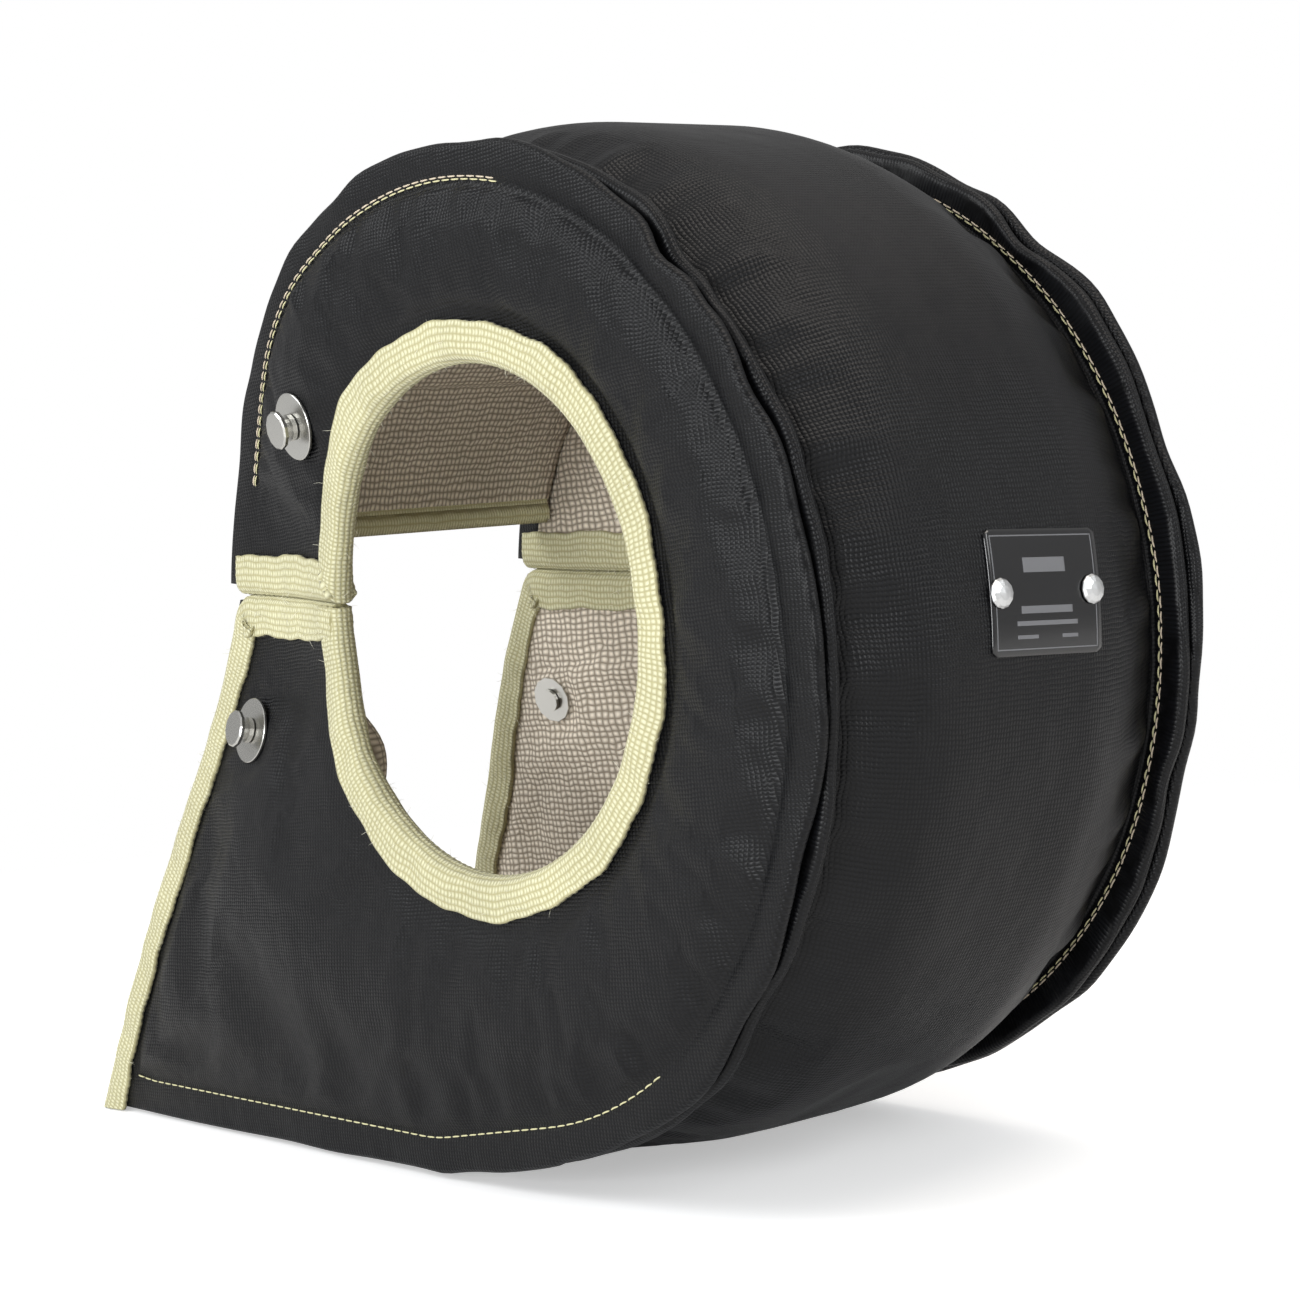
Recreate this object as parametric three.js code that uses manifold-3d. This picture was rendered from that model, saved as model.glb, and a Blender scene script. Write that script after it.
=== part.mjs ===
// A removable heat blanket for the turbine side of a turbocharger.
// It is a short padded drum, open at its left side, whose two ends run down to a foot with a pointed tip.
// Each end is a padded panel with a round hole, and a slit runs from the hole to the drum's left side.
// Pale tape binds the holes, the slits, the legs and the wall's two ends. Lacing posts stand on each panel.
//
// Lengths are in millimetres. X runs to the right along the front panel, Y from front to back and Z up.
// While it is built, the origin is the middle of the round rims. A "distance" runs along a station, which
// is a straight ray across a panel from near the hole's centre. "Level" is the height above the middle
// of the sewn rim, positive on the outside of a panel. An "inset" is the depth below the rim's edge.

import * as THREE from 'three';
import { mergeVertices } from 'three/addons/utils/BufferGeometryUtils.js';
import Module from 'manifold-3d';

const wasm = await Module();
wasm.setup();

const radians = THREE.MathUtils.degToRad;
const { clamp, lerp, smoothstep } = THREE.MathUtils;

// Overall form
const rimRadius = 120;
const rimSpacing = 114.8;
const baseDrop = 6.3;
const baseSlope = radians(10);
const tipReach = 187;
const legTopReach = 113.5;
const holeCentre = new THREE.Vector2(3.6, 8.3);
const slitAngle = radians(176);
const frontHoleRadius = 59.5;
const backHoleRadius = 48;

// Cloth, seams and padding
const clothThickness = 1;
const layerGap = 0.3;
const rimSeam = 11;
const hemSpacing = 0.5;
const edgePadding = 0.8;
const panelPuff = 3.2;
const liningPuff = 3.6;
const liningRise = 5;
const wallPadding = 15;
const liningCrown = 1.2;
const pinchedCrown = 1.5;
const fullCrown = 2.8;
const crownFlat = 0.3;
const crownPower = 3;
const puffStart = 0.3;
const puffEnd = 0.7;
const slitPuff = 0.4;
const liningClimb = 0.44;

// Binding tape
const tapeThickness = 1.3;
const tapeCover = 10.4;
const tapeMargin = 1;
const slitGap = 1;

// How the soft shell sits: the panels lean in beside the slit and the rims gather in waves
const lean = 11;
const leanStart = 35;
const leanFull = 105;
const leanAbove = [12, 58];
const leanBelow = [6, 38];
const gatherDepth = 12.5;
const gatherAcross = 0.8;
const gatherOut = 0.8;

// Lacing posts
const upperPostSpot = new THREE.Vector2(-65, 57.7);
const lowerPostDrop = 28.9;
const lowerPostMargin = 3.4;
const postShank = 2;
const postNeck = 2.35;
const postShoulder = 3.4;
const postButton = 4.85;
const buttonThickness = 1.2;
const shoulderHeight = 1.2;
const neckHeight = 2.2;
const washerRadius = 8.5;
const washerThickness = 0.8;
const clipRadius = 6.5;
const postTail = 3.2;

// Name plate
const plateWidth = 34;
const plateHeight = 27;
const plateThickness = 0.8;
const plateCorner = 1.5;
const plateAngle = radians(3.7);
const plateDepth = 3;
const plateTilt = radians(-2.4);
const rivetInset = 2.7;
const rivetHead = 3.3;
const rivetHeadHeight = 1.5;
const rivetRim = 0.3;
const rivetShank = 1.6;
const backingRadius = 5;
const rivetTail = 2.6;

// Facets
const roundSteps = 21;
const slopeSteps = 1;
const baseSteps = 6;
const legSteps = 5;
const turnedSides = 12;

// Sizes that follow
const rimPlane = rimSpacing / 2;
const baseLevel = -(rimRadius + baseDrop);
const hemThickness = 3 * clothThickness + 2 * layerGap;
const panelTop = hemSpacing / 2 + hemThickness;
const flangeFace = rimPlane - panelTop;
const tapeReach = tapeThickness + layerGap;
const slitShift = slitGap / 2 + tapeReach;
const flatZone = tapeCover + tapeMargin;
const tapeTop = panelTop + tapeReach;
const tapeBottom = -edgePadding - tapeReach;
const holeClearance = 0.4;

// The outline is a circle, then a straight slope that leaves it smoothly, then the flat base
const slopeInward = new THREE.Vector2(-Math.sin(baseSlope), Math.cos(baseSlope));
const slopePoint = slopeInward.clone().multiplyScalar(-rimRadius);
const baseInward = new THREE.Vector2(0, 1);
const basePoint = new THREE.Vector2(0, baseLevel);
const baseStart = slopePoint.x - (slopePoint.y - baseLevel) / Math.tan(baseSlope);
const slitDirection = new THREE.Vector2(Math.cos(slitAngle), Math.sin(slitAngle));
const slitRise = (holeCentre.x + legTopReach) * Math.tan(Math.PI - slitAngle);
const legTop = new THREE.Vector2(-legTopReach, holeCentre.y + slitRise);
const tip = new THREE.Vector2(-tipReach, baseLevel);
const legAlong = legTop.clone().sub(tip).normalize();
const legInward = new THREE.Vector2(legAlong.y, -legAlong.x);
const rivetSpacing = plateWidth - 2 * rivetInset;

// The lower post keeps its washer clear of the tape on the leg
const lowerPostInset = flatZone + lowerPostMargin + washerRadius;
const lowerPostSpot = legTop.clone()
  .addScaledVector(legAlong, -lowerPostDrop)
  .addScaledVector(legInward, lowerPostInset);
const postSpots = { upper: upperPostSpot, lower: lowerPostSpot };
const legLength = legTop.distanceTo(tip);

// Stations
function station(direction, shift, extra) {
  const across = new THREE.Vector2(direction.y, -direction.x);
  const start = holeCentre.clone().addScaledVector(across, shift);
  return { start, direction, shift, puff: 1, gather: 0, ...extra };
}

function slitStation(shift, extra) {
  return station(slitDirection.clone(), shift, { puff: 0, ...extra });
}

function towards(point, extra) {
  return station(point.clone().sub(holeCentre).normalize(), 0, extra);
}

function circleDistance(ray, radius) {
  const along = ray.start.dot(ray.direction);
  return -along + Math.sqrt(along * along - ray.start.lengthSq() + radius * radius);
}

function edgeDistance(ray, point, inward, inset) {
  const closing = -ray.direction.dot(inward);
  const height = ray.start.clone().sub(point).dot(inward) - inset;
  return closing > 0.01 ? height / closing : Infinity;
}

function holeDistance(ray, radius) {
  return Math.sqrt(radius * radius - ray.shift * ray.shift);
}

function rimDistance(ray, inset) {
  if (ray.round) return circleDistance(ray, rimRadius - inset);
  const slope = edgeDistance(ray, slopePoint, slopeInward, inset);
  return Math.min(slope, edgeDistance(ray, basePoint, baseInward, inset));
}

function outlineDistance(ray, rimInset, legInset) {
  const rim = rimDistance(ray, rimInset);
  return ray.foot ? Math.min(rim, edgeDistance(ray, tip, legInward, legInset)) : rim;
}

const besideSlit = slitShift + flatZone;
const roundStart = radians(12.5);
const junction = slopePoint.clone().sub(holeCentre);
const roundEnd = slitAngle - Math.atan2(junction.y, junction.x);
const shiftFade = radians(35);
const gatherFade = radians(22);

function roundStation(step) {
  const turn = lerp(roundStart, roundEnd, step / roundSteps);
  const angle = slitAngle - turn;
  const shift = besideSlit * Math.max(0, 1 - turn / shiftFade) ** 1.5;
  const fadeIn = smoothstep(turn, roundStart, roundStart + gatherFade);
  const fadeOut = smoothstep(roundEnd - turn, 0, gatherFade);
  const direction = new THREE.Vector2(Math.cos(angle), Math.sin(angle));
  const puff = step === 0 ? 0.5 : 1;
  return station(direction, shift, { round: true, turn, gather: fadeIn * fadeOut, puff });
}

const roundStations = Array.from({ length: roundSteps + 1 }, (_, step) => roundStation(step));

function slopeStations() {
  const corner = new THREE.Vector2(baseStart, baseLevel);
  return Array.from({ length: slopeSteps }, (_, step) => {
    return towards(slopePoint.clone().lerp(corner, (step + 1) / slopeSteps));
  });
}

function baseStations() {
  return Array.from({ length: baseSteps }, (_, step) => {
    const x = lerp(baseStart, -tipReach, (step + 1) / baseSteps);
    return towards(new THREE.Vector2(x, baseLevel), { foot: step + 1 === baseSteps });
  });
}

function legStations() {
  const reach = legLength - besideSlit - flatZone * 3;
  return Array.from({ length: legSteps }, (_, step) => {
    const spot = tip.clone().addScaledVector(legAlong, (reach * (step + 1)) / legSteps);
    const puff = lerp(1, slitPuff, step / (legSteps - 1));
    return towards(spot, { foot: true, leg: true, nearTip: step === 0, puff });
  });
}

const panelStations = [
  slitStation(slitShift, { round: true }),
  slitStation(besideSlit, { round: true }),
  ...roundStations,
  ...slopeStations(),
  ...baseStations(),
  ...legStations(),
  slitStation(-besideSlit, { foot: true, leg: true }),
  slitStation(-slitShift, { foot: true, leg: true }),
];

// The wall's stations stand upright on the base, and its two ends stay clear of the panels' tape
const wallUpperEnd = slitShift + tapeCover + tapeMargin + tapeReach;
const tapeAtRim = (tapeCover + tapeMargin + (wallPadding + clothThickness) * legAlong.x) / legInward.x;
const wallLowerEnd = -tipReach + tapeAtRim;

function uprightStation(x, extra) {
  const direction = new THREE.Vector2(0, -1);
  return { start: new THREE.Vector2(x, 0), direction, shift: 0, puff: 1, gather: 0, ...extra };
}

function wallEndStation(fromEnd, end) {
  if (end === 'upper') return slitStation(wallUpperEnd + fromEnd, { round: true });
  return uprightStation(wallLowerEnd + fromEnd, { puff: 0 });
}

const wallStations = [
  wallEndStation(0, 'upper'),
  wallEndStation(flatZone, 'upper'),
  ...roundStations.slice(1),
  ...slopeStations(),
  ...Array.from({ length: baseSteps - 2 }, (_, step) => {
    const last = wallLowerEnd + 2 * flatZone;
    return uprightStation(lerp(baseStart, last, (step + 1) / (baseSteps - 2)));
  }),
  wallEndStation(flatZone, 'lower'),
  wallEndStation(0, 'lower'),
];

// How a point of the flat pattern sits in the finished blanket
function leanAt(x, z) {
  const reach = Math.hypot(x - holeCentre.x, z - holeCentre.y);
  const angle = THREE.MathUtils.radToDeg(Math.atan2(z - holeCentre.y, x - holeCentre.x));
  const above = angle > 0 ? 180 - angle : 0;
  const below = angle > 0 ? 0 : 180 + angle;
  const fade = (1 - smoothstep(above, ...leanAbove)) * (1 - smoothstep(below, ...leanBelow));
  return fade * smoothstep(reach, leanStart, leanFull);
}

function gatherWave(turn, side) {
  return Math.sin(7 * turn + side) + 0.6 * Math.sin(10 * turn + 2.1 * side);
}

function settled(ray, distance, y) {
  const point = ray.start.clone().addScaledVector(ray.direction, distance);
  let depth = y;
  if (ray.gather && Math.abs(y) > flangeFace - 1) {
    const fromRim = rimDistance(ray, 0) - distance;
    const share = ray.gather * clamp(1 - fromRim / gatherDepth, 0, 1);
    const side = Math.sign(y);
    depth += gatherAcross * share * gatherWave(ray.turn, side);
    point.addScaledVector(ray.direction, gatherOut * share * gatherWave(1.7 * ray.turn, side));
  }
  depth *= 1 - (lean / rimPlane) * leanAt(point.x, point.y);
  return new THREE.Vector3(point.x, depth, point.y);
}

// Layers that nest split each four-sided face along the same diagonal
function rises(from, to) {
  const [run, climb] = [to[0] - from[0], to[1] - from[1]];
  return Math.abs(climb) > Math.abs(run) ? climb > 0 : run > 0;
}

function quad(near, side, count, rising) {
  if (rising) return [near, side, side + count, near, side + count, near + count];
  return [near, side, near + count, side, side + count, near + count];
}

// A closed body through matching rings of points. Each ring's flat outline says how the ends are closed.
function skin(rings, outlines, rising) {
  const count = rings[0].length;
  const index = [];
  for (let i = 0; i + 1 < rings.length; i += 1) {
    for (let j = 0; j < count; j += 1) {
      const next = (j + 1) % count;
      const climbs = rising(outlines[i][j], outlines[i][next]);
      index.push(...quad(i * count + j, i * count + next, count, climbs));
    }
  }
  for (const atEnd of [false, true]) {
    const last = atEnd ? rings.length - 1 : 0;
    const first = last * count;
    const outline = outlines[last].map(([across, up]) => new THREE.Vector2(across, up));
    const turn = Math.sign(THREE.ShapeUtils.area(outline));
    for (const [a, b, c] of THREE.ShapeUtils.triangulateShape(outline, [])) {
      const same = Math.sign(THREE.ShapeUtils.area([outline[a], outline[b], outline[c]])) === turn;
      const face = same === atEnd ? [a, b, c] : [c, b, a];
      index.push(...face.map((corner) => corner + first));
    }
  }
  return outward(new THREE.BufferGeometry().setFromPoints(rings.flat()).setIndex(index));
}

// A row is a list of [distance, y] on one station
function loft(rows, rays) {
  const rings = rows.map((row, i) => row.map(([distance, y]) => settled(rays[i], distance, y)));
  return skin(rings, rows, rises);
}

function outward(geometry) {
  const points = geometry.attributes.position;
  const index = Array.from(geometry.index.array);
  const [a, b, c] = [new THREE.Vector3(), new THREE.Vector3(), new THREE.Vector3()];
  let volume = 0;
  for (let i = 0; i < index.length; i += 3) {
    a.fromBufferAttribute(points, index[i]);
    b.fromBufferAttribute(points, index[i + 1]);
    c.fromBufferAttribute(points, index[i + 2]);
    volume += a.dot(b.cross(c));
  }
  if (volume < 0) geometry.setIndex(index.reverse());
  return geometry;
}

// Solid booleans, with the slivers left by a cut taken out
const weldDistance = 1e-4;
const sliver = 0.04;
const seatRays = 12;

function solid(geometry) {
  const bare = geometry.clone();
  bare.deleteAttribute('normal');
  bare.deleteAttribute('uv');
  const merged = mergeVertices(bare, weldDistance);
  const vertProperties = new Float32Array(merged.attributes.position.array);
  const triVerts = new Uint32Array(merged.index.array);
  return new wasm.Manifold(new wasm.Mesh({ numProp: 3, vertProperties, triVerts }));
}

function geometryOf(body) {
  const { vertProperties, triVerts } = body.simplify(sliver).getMesh();
  const geometry = new THREE.BufferGeometry();
  geometry.setAttribute('position', new THREE.BufferAttribute(new Float32Array(vertProperties), 3));
  geometry.setIndex(Array.from(triVerts));
  return geometry;
}

function joined(...geometries) {
  return geometryOf(geometries.map(solid).reduce((whole, body) => whole.add(body)));
}

function cut(geometry, ...cutters) {
  return geometryOf(cutters.map(solid).reduce((whole, body) => whole.subtract(body), solid(geometry)));
}

// Panels
function panelMarks(ray, holeRadius) {
  const hole = holeDistance(ray, holeRadius + tapeReach);
  const tapeEnd = hole + flatZone;
  const seam = outlineDistance(ray, rimSeam, flatZone);
  const edge = outlineDistance(ray, 0, 0);
  return {
    hole,
    tapeEnd,
    inner: lerp(tapeEnd, seam, puffStart),
    outer: lerp(tapeEnd, seam, puffEnd),
    nearSeam: ray.leg ? seam : seam - liningRise,
    seam,
    edge,
  };
}

function panelLevels(ray) {
  const top = panelTop;
  const puffed = top + panelPuff * ray.puff;
  const bottom = -edgePadding;
  const sunk = bottom - liningPuff * ray.puff;
  const slot = hemSpacing / 2 + clothThickness + layerGap;
  const nearSeam = ray.leg ? bottom : lerp(bottom, slot, liningClimb);
  return { top, puffed, bottom, sunk, slot, nearSeam };
}

function panelRows(rays, side, holeRadius, outline) {
  return rays.map((ray) => {
    const points = outline(panelMarks(ray, holeRadius), panelLevels(ray), ray);
    return points.map(([distance, level]) => [distance, side * (rimPlane + level)]);
  });
}

function coverSheet(side, holeRadius) {
  const t = clothThickness;
  const rows = panelRows(panelStations, side, holeRadius, (at, level) => [
    [at.hole, level.top],
    [at.tapeEnd, level.top],
    [at.inner, level.puffed],
    [at.outer, level.puffed],
    [at.seam, level.top],
    [at.edge, level.top],
    [at.edge, level.top - t],
    [at.seam, level.top - t],
    [at.outer, level.puffed - t],
    [at.inner, level.puffed - t],
    [at.tapeEnd, level.top - t],
    [at.hole, level.top - t],
  ]);
  return loft(rows, panelStations);
}

// The hem folds back under the rim and holds the lining's edge
function panelHem(side, holeRadius) {
  const t = clothThickness;
  const rays = panelStations.filter((ray) => !ray.leg);
  const under = hemSpacing / 2;
  const overlap = 0.6 * t;
  const tuck = 0.2 * t;
  const rows = panelRows(rays, side, holeRadius, (at, level) => [
    [at.edge - tuck, level.top - overlap],
    [at.edge - tuck, under],
    [at.seam, under],
    [at.seam, under + t],
    [at.edge - t, under + t],
    [at.edge - t, level.top - overlap],
  ]);
  return loft(rows, rays);
}

function panelLining(side, holeRadius) {
  const t = clothThickness;
  const rows = panelRows(panelStations, side, holeRadius, (at, level, ray) => {
    const held = ray.leg ? level.bottom : level.slot;
    const beyond = ray.leg ? lerp(at.seam, at.edge, 0.5) : at.seam + layerGap;
    const end = ray.leg ? at.edge : at.edge - t - layerGap;
    const face = [
      [at.hole, level.bottom],
      [at.tapeEnd, level.bottom],
      [at.inner, level.sunk],
      [at.outer, level.sunk],
      [at.nearSeam, level.nearSeam],
      [beyond, held],
      [end, held],
    ];
    return [...face, ...face.map(([distance, y]) => [distance, y + t]).reverse()];
  });
  return loft(rows, panelStations);
}

function panelInsulation(side, holeRadius) {
  const spare = clothThickness + layerGap;
  const taper = 1.2;
  const rows = panelRows(panelStations, side, holeRadius, (at, level, ray) => {
    const filled = ray.leg && !ray.nearTip;
    const end = filled ? at.edge : at.nearSeam + taper;
    const rise = ray.leg ? 0 : (taper / liningRise) * (level.slot - level.nearSeam);
    return [
      [at.hole, level.top - spare],
      [at.tapeEnd, level.top - spare],
      [at.inner, level.puffed - spare],
      [at.outer, level.puffed - spare],
      [at.nearSeam, level.top - spare],
      [end, level.top - spare],
      [end, level.nearSeam + rise + spare],
      [at.nearSeam, level.nearSeam + spare],
      [at.outer, level.sunk + spare],
      [at.inner, level.sunk + spare],
      [at.tapeEnd, level.bottom + spare],
      [at.hole, level.bottom + spare],
    ];
  });
  return loft(rows, panelStations);
}

// Wall
function crownInset(ray, share) {
  const crown = lerp(pinchedCrown, rimSeam, ray.puff) + fullCrown * ray.gather;
  const fall = Math.max(0, (Math.abs(share) - crownFlat) / (1 - crownFlat)) ** crownPower;
  return rimSeam - crown * (1 - fall);
}

const shoulder = 0.86;
const wallShares = [-shoulder, -0.62, -crownFlat, crownFlat, 0.62, shoulder];
const liningShares = [-shoulder, 0, shoulder];
const liningCorner = 2.4;
const liningTuck = 0.2;

function liningInset(ray, share) {
  return wallPadding + ray.puff * liningCrown * (1 - share * share);
}

function wallRows(rays, outline) {
  return rays.map((ray) => outline(ray).map(([inset, y]) => [rimDistance(ray, inset), y]));
}

// The wall's cover turns out into a rim at each side and folds back there, round the lining's edge
function wallCover() {
  const t = clothThickness;
  const outer = flangeFace + hemThickness;
  const rimOutside = [
    [rimSeam, flangeFace],
    [0, flangeFace],
    [0, outer],
    [rimSeam, outer],
    [rimSeam, outer - t],
    [t, outer - t],
    [t, flangeFace + t],
    [rimSeam + t, flangeFace + t],
  ];
  const mirrored = rimOutside.map(([inset, y]) => [inset, -y]).reverse();
  const rows = wallRows(wallStations, (ray) => [
    ...wallShares.map((share) => [crownInset(ray, share), share * flangeFace]),
    ...rimOutside,
    ...wallShares.map((share) => [crownInset(ray, share) + t, share * flangeFace]).reverse(),
    ...mirrored,
  ]);
  return loft(rows, wallStations);
}

function wallLining() {
  const t = clothThickness;
  const slot = flangeFace + t + layerGap;
  const turn = rimSeam + t + 2 * layerGap;
  const rows = wallRows(wallStations, (ray) => [
    [t + layerGap, -slot],
    [turn, -slot],
    ...liningShares.map((share) => [liningInset(ray, share), share * flangeFace]),
    [turn, slot],
    [t + layerGap, slot],
    [t + layerGap, slot + t],
    [turn + t, slot + t],
    ...liningShares.map((share) => [liningInset(ray, share) + t, share * flangeFace]).reverse(),
    [turn + t, -slot - t],
    [t + layerGap, -slot - t],
  ]);
  return loft(rows, wallStations);
}

function wallInsulation() {
  const spare = clothThickness + layerGap;
  const end = flangeFace - liningCorner;
  const rows = wallRows(wallStations, (ray) => [
    [rimSeam + spare, -end],
    ...wallShares.map((share) => [crownInset(ray, share) + spare, share * flangeFace]),
    [rimSeam + spare, end],
    [rimSeam + 2 * clothThickness, end],
    ...liningShares.map((share) => [liningInset(ray, share) - layerGap, share * flangeFace]).reverse(),
    [rimSeam + 2 * clothThickness, -end],
  ]);
  return loft(rows, wallStations);
}

// Binding tape: a strip folded over an edge. "Along" runs inward from the cloth's edge.
function foldedTape(top, bottom) {
  const t = tapeThickness;
  return [
    [tapeCover, top],
    [-tapeReach, top],
    [-tapeReach, bottom],
    [tapeCover, bottom],
    [tapeCover, bottom + t],
    [-layerGap, bottom + t],
    [-layerGap, top - t],
    [tapeCover, top - t],
  ];
}

function holeTape(side, holeRadius) {
  const rays = panelStations.slice(0, -1);
  const rows = rays.map((ray) => foldedTape(tapeTop, tapeBottom).map(([along, level]) => {
    return [holeDistance(ray, holeRadius + tapeReach) + along, side * (rimPlane + level)];
  }));
  return loft(rows, rays);
}

// Each point of these rows has a station of its own
function crossLoft(rows) {
  const rings = rows.map((row) => row.map(([ray, distance, y]) => settled(ray, distance, y)));
  return skin(rings, rows.map(() => foldedTape(tapeTop, tapeBottom)), () => false);
}

function slitTape(side, holeRadius, half) {
  const lower = half === 'lower';
  const extra = lower ? { foot: true, leg: true } : { round: true };
  const levels = panelLevels(slitStation(0, extra));
  const bottoms = {
    hole: tapeBottom,
    tapeEnd: tapeBottom,
    inner: tapeBottom,
    outer: tapeBottom,
    nearSeam: levels.nearSeam - tapeReach,
    seam: (lower ? levels.bottom : hemSpacing / 2) - tapeReach,
    edge: (lower ? levels.bottom : hemSpacing / 2) - tapeReach,
  };
  const rows = Object.entries(bottoms).map(([mark, bottom]) => {
    return foldedTape(tapeTop, bottom).map(([along, level]) => {
      const shift = (slitShift + along) * (lower ? -1 : 1);
      const ray = slitStation(shift, extra);
      const atHole = mark === 'hole';
      const distance = atHole ? holeDistance(ray, holeRadius) : panelMarks(ray, holeRadius)[mark];
      return [ray, distance, side * (rimPlane + level)];
    });
  });
  return crossLoft(rows);
}

function legTape(side) {
  const ground = { start: new THREE.Vector2(0, baseLevel), direction: new THREE.Vector2(-1, 0), shift: 0 };
  const corner = slitStation(-slitShift - tapeCover / 2, {});
  const rays = [ground, ...panelStations.filter((ray) => ray.leg).slice(0, -1), corner];
  const rows = rays.map((ray) => foldedTape(tapeTop, tapeBottom).map(([along, level]) => {
    return [ray, edgeDistance(ray, tip, legInward, along), side * (rimPlane + level)];
  }));
  return crossLoft(rows);
}

function wallEndTape(end) {
  const share = (flangeFace - 4 * layerGap) / flangeFace;
  const shares = [-share, ...wallShares, share];
  const rows = shares.map((part) => {
    const probe = wallEndStation(0, end);
    const outside = crownInset(probe, part) - tapeReach;
    const atFlange = Math.abs(part) === share;
    const inside = (atFlange ? wallPadding - liningTuck : liningInset(probe, part)) + clothThickness + tapeReach;
    return foldedTape(-outside, -inside).map(([along, level]) => {
      const ray = wallEndStation(along, end);
      return [ray, rimDistance(ray, -level), part * flangeFace];
    });
  });
  return crossLoft(rows);
}

// Meshes
const blanket = new THREE.Group();
const materials = {
  coatedCloth: { color: '#232427', roughness: 0.62, metalness: 0 },
  liningCloth: { color: '#8a7d70', roughness: 0.9, metalness: 0 },
  insulation: { color: '#d8d2c2', roughness: 1, metalness: 0 },
  tape: { color: '#d9d8b2', roughness: 0.95, metalness: 0 },
  steel: { color: '#b9b7b2', roughness: 0.3, metalness: 1 },
  plate: { color: '#101113', roughness: 0.35, metalness: 0.4 },
};

function add(name, geometry, material, parent = blanket) {
  const shaded = geometry.clone();
  shaded.computeVertexNormals();
  const mesh = new THREE.Mesh(shaded, new THREE.MeshStandardMaterial(materials[material]));
  mesh.name = name;
  parent.add(mesh);
  return mesh;
}

// A frame that sits on a mesh at (x, z), with its Z axis out of the surface under a disc of that radius
function seat(mesh, x, z, side, radius) {
  const caster = new THREE.Raycaster();
  const into = new THREE.Vector3(0, -side, 0);
  const hit = (dx, dz) => {
    caster.set(new THREE.Vector3(x + dx, side * 2 * rimPlane, z + dz), into);
    return caster.intersectObject(mesh)[0].point;
  };
  const quarter = seatRays / 4;
  const ring = Array.from({ length: seatRays }, (_, i) => {
    const angle = (i / seatRays) * 2 * Math.PI;
    return hit(radius * Math.cos(angle), radius * Math.sin(angle));
  });
  const rise = ring[0].clone().sub(ring[2 * quarter]);
  const cross = ring[quarter].clone().sub(ring[3 * quarter]);
  const normal = rise.cross(cross).normalize();
  if (normal.y * side < 0) normal.negate();
  const centre = hit(0, 0);
  const lift = Math.max(0, ...ring.map((point) => point.sub(centre).dot(normal)));
  const frame = new THREE.Group();
  frame.position.copy(centre).addScaledVector(normal, lift + layerGap);
  frame.quaternion.setFromUnitVectors(new THREE.Vector3(0, 0, 1), normal);
  return { frame, normal, lift };
}

// How far below a frame's origin the last of some sheets ends, under a disc of that radius
function depthThrough(frame, normal, mesh, radius) {
  const caster = new THREE.Raycaster();
  const spots = [[0, 0], [radius, 0], [-radius, 0], [0, radius], [0, -radius]];
  const depths = spots.map(([dx, dz]) => {
    const far = new THREE.Vector3(dx, dz, -rimPlane).applyQuaternion(frame.quaternion).add(frame.position);
    caster.set(far, normal);
    return rimPlane - caster.intersectObject(mesh)[0].distance;
  });
  return Math.max(...depths);
}

function turned(profile) {
  const points = profile.map(([radius, height]) => new THREE.Vector2(radius, height));
  const ends = profile[0][0] === 0 ? [] : [points[0].clone()];
  return outward(new THREE.LatheGeometry([...points, ...ends], turnedSides).rotateX(Math.PI / 2));
}

function ring(inner, outer, low, high) {
  return turned([[inner, low], [outer, low], [outer, high], [inner, high]]);
}

function drill(radius, low, high, placed) {
  const tool = new THREE.CylinderGeometry(radius, radius, high - low, turnedSides).rotateX(Math.PI / 2);
  tool.translate(0, 0, (low + high) / 2);
  placed.updateMatrix();
  return tool.applyMatrix4(placed.matrix);
}

function postProfile(length) {
  const shoulder = washerThickness + layerGap;
  const neck = shoulder + shoulderHeight;
  const button = neck + neckHeight;
  const top = button + buttonThickness;
  const bevel = 0.4;
  const tail = -length - washerThickness - layerGap;
  return [
    [0, top],
    [postButton - bevel, top],
    [postButton, top - bevel],
    [postButton, button],
    [postNeck, button],
    [postNeck, neck],
    [postShoulder, neck],
    [postShoulder, shoulder],
    [postShank, shoulder],
    [postShank, tail],
    [postTail, tail],
    [postTail, tail - clothThickness],
    [0, tail - clothThickness],
  ];
}

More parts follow.
